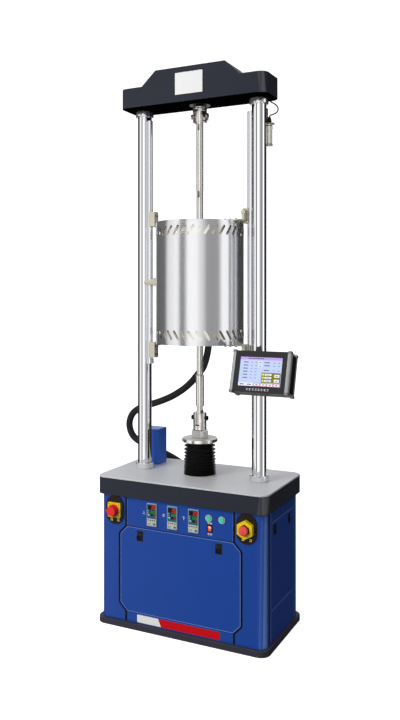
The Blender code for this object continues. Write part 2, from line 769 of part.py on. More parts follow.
def make_control_panel(paint):
    """Instrument strip above the door, cut for the controllers, buttons and rocker."""
    bm = bmesh.new()
    outline = control_panel_outline((BAY_GROOVE, THIN_SEAM))
    extrude(bm, outline, FRONT_Y, FRONT_Y + PANEL_THICKNESS, "Y")
    panel = add_piece("control_panel", bm, paint)
    bezels = bmesh.new()
    for x in BUTTON_XS:
        cylinder(bezels, BUTTON_BEZEL_DIAMETER / 2, FRONT_Y - BUTTON_BEZEL_HEIGHT, FRONT_Y + 0.001, "Y",
                 (x, BUTTON_Z), SMALL_STEPS)
    frame_half_x = ROCKER_WIDTH / 2 + 0.003
    frame_half_z = ROCKER_HEIGHT / 2 + 0.003
    extrude(bezels, rectangle(ROCKER_X - frame_half_x, ROCKER_X + frame_half_x, ROCKER_Z - frame_half_z,
                              ROCKER_Z + frame_half_z), FRONT_Y - 0.002, FRONT_Y + 0.001, "Y")
    carve(panel, bezels, "UNION")
    holes = bmesh.new()
    front = FRONT_Y - 0.01
    back = FRONT_Y + 0.02
    for x in CONTROLLER_XS:
        half_x = CONTROLLER_WIDTH / 2 - 0.0015
        half_z = CONTROLLER_HEIGHT / 2 - 0.002
        extrude(holes, rectangle(x - half_x, x + half_x, CONTROL_Z - half_z, CONTROL_Z + half_z),
                front, back, "Y")
    for x in BUTTON_XS:
        cylinder(holes, BUTTON_CAP_DIAMETER / 2 + SLIDE_GAP, front, back, "Y", (x, BUTTON_Z), SMALL_STEPS)
    half_x = ROCKER_WIDTH / 2 + SLIDE_GAP
    half_z = ROCKER_HEIGHT / 2 + SLIDE_GAP
    extrude(holes, rectangle(ROCKER_X - half_x, ROCKER_X + half_x, ROCKER_Z - half_z, ROCKER_Z + half_z),
            front, back, "Y")
    carve(panel, holes)
    return panel


def latch_pockets(centres, face, axis, outward):
    """Return the cutters of a panel's latch recesses."""
    bm = bmesh.new()
    deep = face - outward * LATCH_DEPTH
    proud = face + outward * 0.01
    for u, v in centres:
        outline = rectangle(u - LATCH_WIDTH / 2, u + LATCH_WIDTH / 2, v - LATCH_HEIGHT / 2, v + LATCH_HEIGHT / 2)
        extrude(bm, outline, min(deep, proud), max(deep, proud), axis)
    return bm


def latch_slider(name, centre, face, axis, outward, plastic):
    """Add one sliding latch, at the upper end of its recess."""
    bm = bmesh.new()
    back = face - outward * (LATCH_DEPTH - SEAT_GAP)
    front = face + outward * LATCH_SLIDER_PROUD
    half = LATCH_WIDTH / 2 - LATCH_CLEARANCE
    high = centre[1] + LATCH_HEIGHT / 2 - LATCH_CLEARANCE
    outline = rectangle(centre[0] - half, centre[0] + half, high - LATCH_SLIDER_HEIGHT, high)
    extrude(bm, outline, min(back, front), max(back, front), axis)
    return add_piece(name, bm, plastic)


def hang_latches(names, centres, face, axis, outward, plastic, hinge):
    """Add a panel's latches, each on its own slide under the panel's hinge."""
    for name, centre in zip(names, centres):
        latch = latch_slider(name, centre, face, axis, outward, plastic)
        place = placed(axis, centre[0], centre[1], face)
        hang([latch], joint_frame(name + "_slide", place, hinge))


def front_latch_centres():
    """Return the places of the front door's latches."""
    return [(-FRONT_LATCH_X, FRONT_LATCH_Z), (FRONT_LATCH_X, FRONT_LATCH_Z)]


def side_latch_centres():
    """Return the places of a side panel's latches."""
    return [(-SIDE_LATCH_Y, SIDE_LATCH_Z), (SIDE_LATCH_Y, SIDE_LATCH_Z)]


def make_front_door(paint, plastic):
    """Front door, hinged along its lower edge, with its latches."""
    bm = bmesh.new()
    extrude(bm, door_outline((BAY_GROOVE, THIN_SEAM)), FRONT_Y, FRONT_Y + PANEL_THICKNESS, "Y")
    door = add_piece("front_door", bm, paint)
    centres = front_latch_centres()
    carve(door, latch_pockets(centres, FRONT_Y, "Y", -1))
    hinge = joint_frame("front_door_hinge", (0.0, FRONT_Y, DOOR_BOTTOM_Z + THIN_SEAM))
    names = ("front_door_latch_left", "front_door_latch_right")
    hang_latches(names, centres, FRONT_Y, "Y", -1, plastic, hinge)
    hang([door], hinge)


def make_side_panel(label, side, paint, plastic):
    """One side panel, hinged along its lower edge, with its latches."""
    face = side * SIDE_X
    back = side * (SIDE_X - PANEL_THICKNESS)
    bm = bmesh.new()
    extrude(bm, side_panel_outline(THIN_SEAM), min(face, back), max(face, back), "X")
    panel = add_piece("side_panel_" + label, bm, paint)
    centres = side_latch_centres()
    carve(panel, latch_pockets(centres, face, "X", side))
    hinge = joint_frame("side_panel_%s_hinge" % label, (face, 0.0, SIDE_PANEL_BOTTOM_Z + THIN_SEAM))
    names = ("side_latch_%s_front" % label, "side_latch_%s_rear" % label)
    hang_latches(names, centres, face, "X", side, plastic, hinge)
    hang([panel], hinge)


def make_columns(chrome):
    """Two ground columns, each with a collar at both ends and a stud into the table and the crosshead."""
    stud = COLUMN_STUD_DIAMETER / 2
    collar = COLLAR_DIAMETER / 2
    soft = 0.004
    low = TABLE_TOP_Z + SEAT_GAP
    high = CROSSHEAD_BOTTOM_Z - SEAT_GAP
    profile = [
        (0.0, TABLE_TOP_Z - TABLE_STUD_LENGTH),
        (stud, TABLE_TOP_Z - TABLE_STUD_LENGTH),
        (stud, low),
        (collar - soft, low),
        (collar, low + soft),
        (collar, low + COLLAR_HEIGHT - soft),
        (collar - soft, low + COLLAR_HEIGHT),
        (COLUMN_RADIUS, low + COLLAR_HEIGHT),
        (COLUMN_RADIUS, high - COLLAR_HEIGHT),
        (collar - soft, high - COLLAR_HEIGHT),
        (collar, high - COLLAR_HEIGHT + soft),
        (collar, high - soft),
        (collar - soft, high),
        (stud, high),
        (stud, CROSSHEAD_BOTTOM_Z + CROSSHEAD_STUD_LENGTH),
        (0.0, CROSSHEAD_BOTTOM_Z + CROSSHEAD_STUD_LENGTH),
    ]
    for label, side in (("left", -1), ("right", 1)):
        bm = bmesh.new()
        turn(bm, profile, ROUND_STEPS, "Z", (side * COLUMN_X, 0.0))
        add_piece("column_" + label, bm, chrome)


def make_crosshead(paint):
    """Thick painted crosshead with a raised middle, round ends and a pocket for the load cell."""
    bm = bmesh.new()
    half = CROSSHEAD_WIDTH / 2
    outline = [
        (-half, CROSSHEAD_BOTTOM_Z), (half, CROSSHEAD_BOTTOM_Z), (half, SHOULDER_Z),
        (HUMP_FOOT_X, SHOULDER_Z), (HUMP_TOP_X, HUMP_Z), (-HUMP_TOP_X, HUMP_Z),
        (-HUMP_FOOT_X, SHOULDER_Z), (-half, SHOULDER_Z),
    ]
    extrude(bm, outline, CROSSHEAD_FRONT_Y - 0.01, CROSSHEAD_BACK_Y + 0.01, "Y")
    crosshead = add_piece("crosshead", bm, paint)
    middle_y = (CROSSHEAD_FRONT_Y + CROSSHEAD_BACK_Y) / 2
    depth = CROSSHEAD_BACK_Y - CROSSHEAD_FRONT_Y
    plan = bmesh.new()
    extrude(plan, rounded_rectangle(CROSSHEAD_WIDTH, depth, CROSSHEAD_CORNER_RADIUS, (0.0, middle_y)),
            CROSSHEAD_BOTTOM_Z - 0.01, HUMP_Z + 0.01)
    carve(crosshead, plan, "INTERSECT")
    bores = bmesh.new()
    for side in (-1, 1):
        cylinder(bores, COLUMN_STUD_DIAMETER / 2 + SEAT_GAP, CROSSHEAD_BOTTOM_Z - 0.01,
                 CROSSHEAD_BOTTOM_Z + CROSSHEAD_STUD_LENGTH + SEAT_GAP, "Z", (side * COLUMN_X, 0.0), ROUND_STEPS)
    cylinder(bores, LOAD_CELL_DIAMETER / 2 + SEAT_GAP, CROSSHEAD_BOTTOM_Z - 0.01,
             CROSSHEAD_BOTTOM_Z + LOAD_CELL_HEIGHT + SEAT_GAP, "Z", (0.0, 0.0), ROUND_STEPS)
    carve(crosshead, bores)
    return crosshead


def make_load_cell(steel):
    """Load cell let into the crosshead's underside."""
    bm = bmesh.new()
    outer = LOAD_CELL_DIAMETER / 2
    boss = LOAD_CELL_BOSS_DIAMETER / 2
    profile = [
        (0.0, CROSSHEAD_BOTTOM_Z - LOAD_CELL_BOSS_HEIGHT),
        (boss, CROSSHEAD_BOTTOM_Z - LOAD_CELL_BOSS_HEIGHT),
        (boss, CROSSHEAD_BOTTOM_Z),
        (outer, CROSSHEAD_BOTTOM_Z),
        (outer, CROSSHEAD_BOTTOM_Z + LOAD_CELL_HEIGHT),
        (0.0, CROSSHEAD_BOTTOM_Z + LOAD_CELL_HEIGHT),
    ]
    turn(bm, profile)
    return add_piece("load_cell", bm, steel)


def make_upper_clevis(steel):
    """Fork under the load cell: two ears with a pin hole."""
    bm = bmesh.new()
    top = CROSSHEAD_BOTTOM_Z - LOAD_CELL_BOSS_HEIGHT - SEAT_GAP
    cylinder(bm, UPPER_CLEVIS_DIAMETER / 2, UPPER_CLEVIS_BOTTOM_Z, top, "Z", (0.0, 0.0), ROUND_STEPS)
    clevis = add_piece("upper_clevis", bm, steel)
    cut = bmesh.new()
    half = UPPER_CLEVIS_SLOT / 2
    reach = UPPER_CLEVIS_DIAMETER
    block(cut, (-half, -reach, UPPER_CLEVIS_BOTTOM_Z - 0.01), (half, reach, UPPER_CLEVIS_ROOT_Z))
    carve(clevis, cut)
    bore = bmesh.new()
    cylinder(bore, PIN_DIAMETER / 2 + SEAT_GAP, -reach, reach, "X", (0.0, UPPER_PIN_Z), SMALL_STEPS)
    carve(clevis, bore)
    return clevis


def make_upper_pin(steel):
    """Pin of the upper fork, with a nut on its left and a small lever on its right."""
    bm = bmesh.new()
    ear = UPPER_CLEVIS_DIAMETER / 2 + SEAT_GAP
    head = PIN_HEAD_DIAMETER / 2
    pin = PIN_DIAMETER / 2
    end = ear + PIN_HEAD_LENGTH
    centre = (0.0, UPPER_PIN_Z)
    bridge_sections(bm, [
        (ring(head, SMALL_STEPS, centre), -end),
        (ring(head, SMALL_STEPS, centre), -ear),
        (ring(pin, SMALL_STEPS, centre), -ear),
        (ring(pin, SMALL_STEPS, centre), ear),
        (ring(head, SMALL_STEPS, centre), ear),
        (ring(head, SMALL_STEPS, centre), end),
    ], "X")
    piece = add_piece("upper_clevis_pin", bm, steel)
    lever = bmesh.new()
    block(lever, (end - 0.004, -0.004, UPPER_PIN_Z - 0.022), (end, 0.004, UPPER_PIN_Z + 0.002))
    carve(piece, lever, "UNION")
    return piece


def make_upper_rod(steel):
    """Upper pull rod: head in the fork, joint half way, and grip at its lower end."""
    bm = bmesh.new()
    head = ROD_HEAD_DIAMETER / 2
    shaft = UPPER_ROD_DIAMETER / 2
    grip = GRIP_DIAMETER / 2
    head_low = UPPER_CLEVIS_BOTTOM_Z + 0.003
    profile = [
        (0.0, UPPER_GRIP_BOTTOM_Z),
        (grip, UPPER_GRIP_BOTTOM_Z),
        (grip, UPPER_GRIP_BOTTOM_Z + GRIP_LENGTH),
        (shaft, UPPER_GRIP_BOTTOM_Z + GRIP_LENGTH + 0.006),
        (shaft, UPPER_JOINT_Z),
        (shaft + 0.0008, UPPER_JOINT_Z + 0.001),
        (shaft + 0.0008, head_low),
        (head, head_low),
        (head, ROD_HEAD_TOP_Z),
        (0.0, ROD_HEAD_TOP_Z),
    ]
    turn(bm, profile, ROD_STEPS)
    rod = add_piece("upper_pull_rod", bm, steel)
    holes = bmesh.new()
    cylinder(holes, GRIP_SOCKET_DIAMETER / 2, UPPER_GRIP_BOTTOM_Z - 0.01,
             UPPER_GRIP_BOTTOM_Z + GRIP_SOCKET_DEPTH, "Z", (0.0, 0.0), ROD_STEPS)
    cylinder(holes, PIN_DIAMETER / 2 + SLIDE_GAP, -0.05, 0.05, "X", (0.0, UPPER_PIN_Z), SMALL_STEPS)
    for middle in COTTER_SLOT_ZS:
        low = middle - COTTER_SLOT_HEIGHT / 2
        high = middle + COTTER_SLOT_HEIGHT / 2
        block(holes, (-COTTER_SLOT_WIDTH / 2, -0.05, low), (COTTER_SLOT_WIDTH / 2, 0.05, high))
    carve(rod, holes)
    hang([rod], joint_frame("upper_rod_swing", (0.0, 0.0, UPPER_PIN_Z)))


def make_bellows(rubber):
    """Rubber bellows between the table and the flange, its folds wider towards the top."""
    low = TABLE_TOP_Z + SEAT_GAP
    high = FLANGE_BOTTOM_Z - SEAT_GAP
    crest = BELLOWS_DIAMETER / 2
    root = crest - BELLOWS_FOLD_DEPTH
    weights = [1.0 + (BELLOWS_STRETCH - 1.0) * 2.0 * index / BELLOWS_FOLDS for index in range(BELLOWS_FOLDS)]
    total = sum(weights)
    profile = [(root - BELLOWS_WALL, low), (crest, low)]
    level = low
    for weight in weights:
        pitch = (high - low) * weight / total
        profile.append((root, level + pitch * 0.5))
        level += pitch
        profile.append((crest, level))
    profile.append((root - BELLOWS_WALL, high))
    bm = bmesh.new()
    turn(bm, profile, ROD_STEPS)
    return add_piece("bellows", bm, rubber)


def make_actuator(steel, chrome, black, rubber):
    """Everything that the screw lifts: tube, nut, flange, fork and lower pull rod."""
    pieces = [make_tube(chrome), make_ball_nut(steel), make_flange(steel)]
    pieces += [make_lower_clevis(steel), make_lower_pin(black), make_lower_rod(steel)]
    make_bellows(rubber)
    hang(pieces, joint_frame("actuator_slide", (0.0, 0.0, FLANGE_BOTTOM_Z)))


def make_tube(chrome):
    """Actuator tube that slides through the table."""
    outer = TUBE_DIAMETER / 2
    inner = TUBE_BORE / 2
    low = TUBE_BOTTOM_Z
    high = FLANGE_BOTTOM_Z - SEAT_GAP
    bm = bmesh.new()
    turn(bm, [(inner, low), (outer, low), (outer, high), (inner, high)], ROUND_STEPS)
    return add_piece("actuator_tube", bm, chrome)


def make_ball_nut(steel):
    """Ball nut let into the tube's lower end."""
    bore = SCREW_DIAMETER / 2 + RUNNING_GAP
    flange = TUBE_DIAMETER / 2 - SEAT_GAP
    spigot = TUBE_BORE / 2 - SEAT_GAP
    seat = TUBE_BOTTOM_Z - SEAT_GAP
    bm = bmesh.new()
    profile = [(bore, NUT_BOTTOM_Z), (flange, NUT_BOTTOM_Z), (flange, seat), (spigot, seat),
               (spigot, seat + 0.02), (bore, seat + 0.02)]
    turn(bm, profile, ROUND_STEPS)
    return add_piece("ball_nut", bm, steel)


def make_flange(steel):
    """Round flange on top of the bellows, with the hexagon lock nut that carries the fork."""
    rim = FLANGE_DIAMETER / 2
    bm = bmesh.new()
    profile = [
        (0.0, FLANGE_BOTTOM_Z),
        (rim - 0.003, FLANGE_BOTTOM_Z),
        (rim, FLANGE_BOTTOM_Z + 0.003),
        (rim, FLANGE_TOP_Z - 0.004),
        (rim - 0.004, FLANGE_TOP_Z),
        (0.0, FLANGE_TOP_Z),
    ]
    turn(bm, profile, ROUND_STEPS)
    flange = add_piece("actuator_flange", bm, steel)
    nut = bmesh.new()
    corner = TRAIN_NUT_ACROSS_CORNERS / 2
    bridge_sections(nut, [
        (ring(corner, 6), FLANGE_TOP_Z - 0.001),
        (ring(corner, 6), TRAIN_NUT_TOP_Z - 0.003),
        (ring(corner - 0.004, 6), TRAIN_NUT_TOP_Z),
    ])
    carve(flange, nut, "UNION")
    return flange


def make_lower_clevis(steel):
    """Fork on the flange, round outside, with a slot and a pin hole."""
    bm = bmesh.new()
    low = TRAIN_NUT_TOP_Z + SEAT_GAP
    cylinder(bm, CLEVIS_DIAMETER / 2, low, CLEVIS_TOP_Z, "Z", (0.0, 0.0), ROUND_STEPS)
    clevis = add_piece("lower_clevis", bm, steel)
    slot = bmesh.new()
    half = CLEVIS_SLOT / 2
    block(slot, (-half, -CLEVIS_DIAMETER, CLEVIS_SLOT_BOTTOM_Z), (half, CLEVIS_DIAMETER, CLEVIS_TOP_Z + 0.01))
    carve(clevis, slot)
    bore = bmesh.new()
    cylinder(bore, PIN_DIAMETER / 2 + SEAT_GAP, -CLEVIS_DIAMETER, CLEVIS_DIAMETER, "X", (0.0, LOWER_PIN_Z),
             SMALL_STEPS)
    carve(clevis, bore)
    return clevis


def make_lower_pin(steel):
    """Headed pin through the lower fork."""
    ear = CLEVIS_DIAMETER / 2 + SEAT_GAP
    end = ear + PIN_HEAD_LENGTH
    head = PIN_HEAD_DIAMETER / 2
    pin = PIN_DIAMETER / 2
    centre = (0.0, LOWER_PIN_Z)
    bm = bmesh.new()
    bridge_sections(bm, [
        (ring(head, SMALL_STEPS, centre), -end),
        (ring(head, SMALL_STEPS, centre), -ear),
        (ring(pin, SMALL_STEPS, centre), -ear),
        (ring(pin, SMALL_STEPS, centre), ear),
        (ring(head, SMALL_STEPS, centre), ear),
        (ring(head, SMALL_STEPS, centre), end),
    ], "X")
    return add_piece("lower_clevis_pin", bm, steel)


def make_lower_rod(steel):
    """Lower pull rod: flat tongue in the fork, thick part, thin part and grip."""
    tongue_low = CLEVIS_SLOT_BOTTOM_Z + 0.004
    tongue_high = CLEVIS_TOP_Z + 0.008
    wide = WIDE_ROD_DIAMETER / 2
    neck = LOWER_NECK_DIAMETER / 2
    thin = THIN_ROD_DIAMETER / 2
    grip = GRIP_DIAMETER / 2
    grip_low = LOWER_GRIP_TOP_Z - GRIP_LENGTH
    profile = [
        (0.0, tongue_low),
        (wide, tongue_low),
        (wide, tongue_high),
        (neck, tongue_high),
        (neck, LOWER_NECK_TOP_Z),
        (wide, LOWER_NECK_TOP_Z),
        (wide, WIDE_ROD_TOP_Z - 0.003),
        (thin, WIDE_ROD_TOP_Z),
        (thin, grip_low - 0.006),
        (grip, grip_low),
        (grip, LOWER_GRIP_TOP_Z),
        (0.0, LOWER_GRIP_TOP_Z),
    ]
    bm = bmesh.new()
    turn(bm, profile, ROD_STEPS)
    rod = add_piece("lower_pull_rod", bm, steel)
    flats = bmesh.new()
    half = CLEVIS_SLOT / 2 - SEAT_GAP
    for side in (-1, 1):
        near = side * half
        far = side * 0.05
        block(flats, (min(near, far), -0.05, tongue_low - 0.01), (max(near, far), 0.05, tongue_high + 0.001))
    cylinder(flats, GRIP_SOCKET_DIAMETER / 2, LOWER_GRIP_TOP_Z - GRIP_SOCKET_DEPTH, LOWER_GRIP_TOP_Z + 0.01, "Z",
             (0.0, 0.0), ROD_STEPS)
    carve(rod, flats)
    bore = bmesh.new()
    cylinder(bore, PIN_DIAMETER / 2 + SEAT_GAP, -0.05, 0.05, "X", (0.0, LOWER_PIN_Z), SMALL_STEPS)
    carve(rod, bore)
    return rod


def make_bearing_housing(iron):
    """Long housing that guides the tube, its bearing foot joined to the plate that carries the drive."""
    low = HOUSING_BOTTOM_Z
    high = CABINET_HIGH_Z
    guide = GUIDE_BORE / 2
    wall = HOUSING_DIAMETER / 2
    flange = HOUSING_FLANGE_DIAMETER / 2
    journal = SCREW_JOURNAL_DIAMETER / 2 + RUNNING_GAP
    bm = bmesh.new()
    profile = [
        (journal, low),
        (flange * 0.8, low),
        (flange * 0.8, low + HOUSING_FLANGE_THICKNESS),
        (wall, low + HOUSING_FLANGE_THICKNESS),
        (wall, high - HOUSING_FLANGE_THICKNESS),
        (flange, high - HOUSING_FLANGE_THICKNESS),
        (flange, high),
        (guide, high),
        (guide, BEARING_TOP_Z),
        (journal, BEARING_TOP_Z),
    ]
    turn(bm, profile, ROUND_STEPS)
    housing = add_piece("bearing_housing", bm, iron)
    plate = bmesh.new()
    left = -flange
    right = MOTOR_X + MOTOR_SIZE / 2 + 0.02
    middle = (left + right) / 2
    plate_low = HOUSING_BOTTOM_Z - DRIVE_PLATE_THICKNESS
    extrude(plate, rounded_rectangle(right - left, 2 * DRIVE_PLATE_HALF_DEPTH, 0.02, (middle, 0.0)),
            plate_low, HOUSING_BOTTOM_Z + 0.001)
    carve(housing, plate, "UNION")
    holes = bmesh.new()
    shaft = MOTOR_SHAFT_DIAMETER / 2 + RUNNING_GAP
    cylinder(holes, journal, plate_low - 0.01, HOUSING_BOTTOM_Z + 0.02, "Z", (0.0, 0.0), ROUND_STEPS)
    cylinder(holes, shaft, plate_low - 0.01, HOUSING_BOTTOM_Z + 0.02, "Z", (MOTOR_X, 0.0), ROD_STEPS)
    carve(housing, holes)
    return housing


def make_screw(steel):
    """Ball screw with its journal, collar and driven pulley."""
    journal = SCREW_JOURNAL_DIAMETER / 2
    collar = SCREW_COLLAR_DIAMETER / 2
    thread = SCREW_DIAMETER / 2
    seat = BEARING_TOP_Z + SEAT_GAP
    pulley = SCREW_PULLEY_DIAMETER / 2
    rim = pulley + PULLEY_FLANGE
    bm = bmesh.new()
    profile = [
        (0.0, PULLEY_BOTTOM_Z - 0.004),
        (journal, PULLEY_BOTTOM_Z - 0.004),
        (journal, PULLEY_BOTTOM_Z),
        (rim, PULLEY_BOTTOM_Z),
        (rim, PULLEY_BOTTOM_Z + PULLEY_FLANGE),
        (pulley, PULLEY_BOTTOM_Z + PULLEY_FLANGE),
        (pulley, PULLEY_TOP_Z - PULLEY_FLANGE),
        (rim, PULLEY_TOP_Z - PULLEY_FLANGE),
        (rim, PULLEY_TOP_Z),
        (journal, PULLEY_TOP_Z),
        (journal, seat),
        (collar, seat),
        (collar, seat + 0.010),
        (thread, seat + 0.010),
        (thread, SCREW_TOP_Z - 0.004),
        (thread - 0.004, SCREW_TOP_Z),
        (0.0, SCREW_TOP_Z),
    ]
    turn(bm, profile, ROD_STEPS)
    screw = add_piece("ball_screw", bm, steel)
    hang([screw], joint_frame("screw_turn", (0.0, 0.0, PULLEY_BOTTOM_Z)))


def make_motor(black):
    """Geared servo motor that stands on the drive plate."""
    half = MOTOR_SIZE / 2
    base = HOUSING_BOTTOM_Z + 0.001 + SEAT_GAP
    reducer_high = base + REDUCER_HEIGHT
    motor_high = reducer_high + MOTOR_HEIGHT
    body = bmesh.new()
    wide = rounded_rectangle(2 * half, 2 * half, 0.008, (MOTOR_X, 0.0), 2)
    slim = rounded_rectangle(2 * half - 0.012, 2 * half - 0.012, 0.006, (MOTOR_X, 0.0), 2)
    cap = rounded_rectangle(2 * half - 0.020, 2 * half - 0.020, 0.006, (MOTOR_X, 0.0), 2)
    bridge_sections(body, [
        (wide, base), (wide, base + 0.012), (slim, base + 0.012), (slim, reducer_high - 0.012),
        (wide, reducer_high - 0.012), (wide, reducer_high + 0.010), (slim, reducer_high + 0.010),
        (slim, motor_high - 0.035), (cap, motor_high - 0.035), (cap, motor_high),
    ])
    return add_piece("servo_gearmotor", body, black)


def make_motor_pulley(steel):
    """Motor pulley on the reducer's output shaft."""
    shaft = MOTOR_SHAFT_DIAMETER / 2
    pulley = MOTOR_PULLEY_DIAMETER / 2
    rim = pulley + PULLEY_FLANGE
    bm = bmesh.new()
    profile = [
        (0.0, PULLEY_BOTTOM_Z - 0.003),
        (shaft, PULLEY_BOTTOM_Z - 0.003),
        (shaft, PULLEY_BOTTOM_Z),
        (rim, PULLEY_BOTTOM_Z),
        (rim, PULLEY_BOTTOM_Z + PULLEY_FLANGE),
        (pulley, PULLEY_BOTTOM_Z + PULLEY_FLANGE),
        (pulley, PULLEY_TOP_Z - PULLEY_FLANGE),
        (rim, PULLEY_TOP_Z - PULLEY_FLANGE),
        (rim, PULLEY_TOP_Z),
        (shaft, PULLEY_TOP_Z),
        (shaft, HOUSING_BOTTOM_Z + 0.001),
        (0.0, HOUSING_BOTTOM_Z + 0.001),
    ]
    turn(bm, profile, ROD_STEPS, "Z", (MOTOR_X, 0.0))
    wheel = add_piece("motor_pulley", bm, steel)
    hang([wheel], joint_frame("motor_pulley_turn", (MOTOR_X, 0.0, PULLEY_BOTTOM_Z)))


def belt_outline(extra):
    """Return the belt's outline round both pulleys, a distance out from their faces."""
    big = SCREW_PULLEY_DIAMETER / 2 + extra
    small = MOTOR_PULLEY_DIAMETER / 2 + extra
    lean = math.degrees(math.acos((big - small) / MOTOR_X))
    points = []
    steps = 14
    for step in range(steps + 1):
        angle = math.radians(-lean + 2 * lean * step / steps)
        points.append((MOTOR_X + small * math.cos(angle), small * math.sin(angle)))
    for step in range(steps + 1):
        angle = math.radians(lean + (360.0 - 2 * lean) * step / steps)
        points.append((big * math.cos(angle), big * math.sin(angle)))
    return points


def make_belt(rubber):
    """Toothed belt as a plain loop round the pulleys."""
    low = PULLEY_BOTTOM_Z + PULLEY_FLANGE + 0.001
    high = PULLEY_TOP_Z - PULLEY_FLANGE - 0.001
    inner = belt_outline(0.0011)
    outer = belt_outline(0.0011 + BELT_THICKNESS)
    bm = bmesh.new()
    loops = []
    for outline, level in ((outer, low), (outer, high), (inner, high), (inner, low)):
        loops.append([bm.verts.new((u, v, level)) for u, v in outline])
    count = len(inner)
    for first, second in zip(loops, loops[1:] + loops[:1]):
        for index in range(count):
            after = (index + 1) % count
            bm.faces.new((first[index], first[after], second[after], second[index]))
    return add_piece("timing_belt", bm, rubber)


def make_guides(chrome):
    """Guide rods that touch the columns, each with a stop ring at its lower end."""
    radius = GUIDE_ROD_DIAMETER / 2
    outer = GUIDE_STOP_DIAMETER / 2
    stop_high = GUIDE_ROD_BOTTOM_Z + GUIDE_STOP_HEIGHT
    profile = [
        (0.0, GUIDE_ROD_BOTTOM_Z),
        (outer, GUIDE_ROD_BOTTOM_Z),
        (outer, stop_high),
        (radius, stop_high),
        (radius, GUIDE_ROD_TOP_Z - 0.001),
        (radius - 0.001, GUIDE_ROD_TOP_Z),
        (0.0, GUIDE_ROD_TOP_Z),
    ]
    for label, side, centre in zip(("left", "right"), (-1, 1), guide_places()):
        bm = bmesh.new()
        turn(bm, profile, ROD_STEPS, "Z", centre)
        rod = add_piece("guide_rod_" + label, bm, chrome)
        clear = bmesh.new()
        cylinder(clear, COLUMN_RADIUS + SEAT_GAP, GUIDE_ROD_BOTTOM_Z - 0.01, stop_high + 0.01, "Z",
                 (side * COLUMN_X, 0.0), ROUND_STEPS)
        carve(rod, clear)


def shell_profile():
    """Return the section of a furnace half's casing: wall and two end plates."""
    hole = FURNACE_END_HOLE_DIAMETER / 2
    outer = FURNACE_RADIUS
    inner = outer - FURNACE_WALL
    low = FURNACE_BOTTOM_Z
    high = FURNACE_TOP_Z
    return [
        (hole, low), (outer, low), (outer, high), (hole, high),
        (hole, high - FURNACE_WALL), (inner, high - FURNACE_WALL),
        (inner, low + FURNACE_WALL), (hole, low + FURNACE_WALL),
    ]


def slot_outline(lean):
    """Return a leaning slot with round ends: along the casing and up, about its middle."""
    radius = SLOT_WIDTH / 2
    lean_angle = math.radians(SLOT_LEAN_DEG)
    rise = SLOT_HEIGHT / 2 - radius
    shift = lean * rise * math.tan(lean_angle)
    points = []
    for end in (1, -1):
        start = -lean * lean_angle if end > 0 else math.pi - lean * lean_angle
        for step in range(SLOT_END_STEPS + 1):
            angle = start + math.pi * step / SLOT_END_STEPS
            points.append((end * shift + radius * math.cos(angle), end * rise + radius * math.sin(angle)))
    return points


def slot_cutters(start_deg):
    """Return the leaning slots of one furnace half, in a band at each end."""
    bm = bmesh.new()
    near = FURNACE_RADIUS - 0.012
    far = FURNACE_RADIUS + 0.012
    top = FURNACE_TOP_Z - SLOT_END_MARGIN - SLOT_HEIGHT / 2
    bottom = FURNACE_BOTTOM_Z + SLOT_END_MARGIN + SLOT_HEIGHT / 2
    count = int(round(180.0 / SLOT_PITCH_DEG))
    for middle, lean in ((top, 1.0), (bottom, -1.0)):
        outline = slot_outline(lean)
        for index in range(count):
            angle = math.radians(start_deg + (index + 0.5) * SLOT_PITCH_DEG)
            out = Vector((math.cos(angle), math.sin(angle), 0.0))
            along = Vector((-math.sin(angle), math.cos(angle), 0.0))
            places = [along * u + Vector((0.0, 0.0, middle + v)) for u, v in outline]
            inner = [bm.verts.new(out * near + place) for place in places]
            outer = [bm.verts.new(out * far + place) for place in places]
            bm.faces.new(inner)
            bm.faces.new(outer)
            for place in range(len(places)):
                after = (place + 1) % len(places)
                bm.faces.new((inner[place], inner[after], outer[after], outer[place]))
    return bm


def make_furnace_half(label, start_deg, steel, ceramic):
    """One half of the furnace: casing with end plates and slots, lining and heater tube."""
    offset = FURNACE_SPLIT_GAP if start_deg == 0.0 else -FURNACE_SPLIT_GAP
    bm = bmesh.new()
    turn(bm, shell_profile(), FURNACE_STEPS // 2, "Z", (0.0, 0.0), start_deg, 180.0)
    casing = add_piece("furnace_%s_shell" % label, bm, steel)
    carve(casing, slot_cutters(start_deg))
    low = FURNACE_BOTTOM_Z + FURNACE_WALL + SEAT_GAP
    high = FURNACE_TOP_Z - FURNACE_WALL - SEAT_GAP
    lining = bmesh.new()
    outer = LINING_DIAMETER / 2
    neck = HEATER_DIAMETER / 2
    bore = HEATER_BORE / 2
    profile = [
        (neck, low), (outer, low), (outer, high), (neck, high), (neck, high - HEATER_INSET),
        (bore, high - HEATER_INSET), (bore, low + HEATER_INSET), (neck, low + HEATER_INSET),
    ]
    turn(lining, profile, FURNACE_STEPS // 2, "Z", (0.0, 0.0), start_deg, 180.0)
    core = add_piece("furnace_%s_lining" % label, lining, ceramic)
    for piece in (casing, core):
        piece.data.transform(Matrix.Translation((0.0, offset, 0.0)))
    return casing, core


def probe_cutters(extra):
    """Return bars along the thermocouples' bores."""
    bm = bmesh.new()
    for z in THERMOCOUPLE_ZS:
        cylinder(bm, THERMOCOUPLE_DIAMETER / 2 + extra, 0.01, FURNACE_RADIUS + 0.01, "Y", (0.0, z), 12)
    return bm


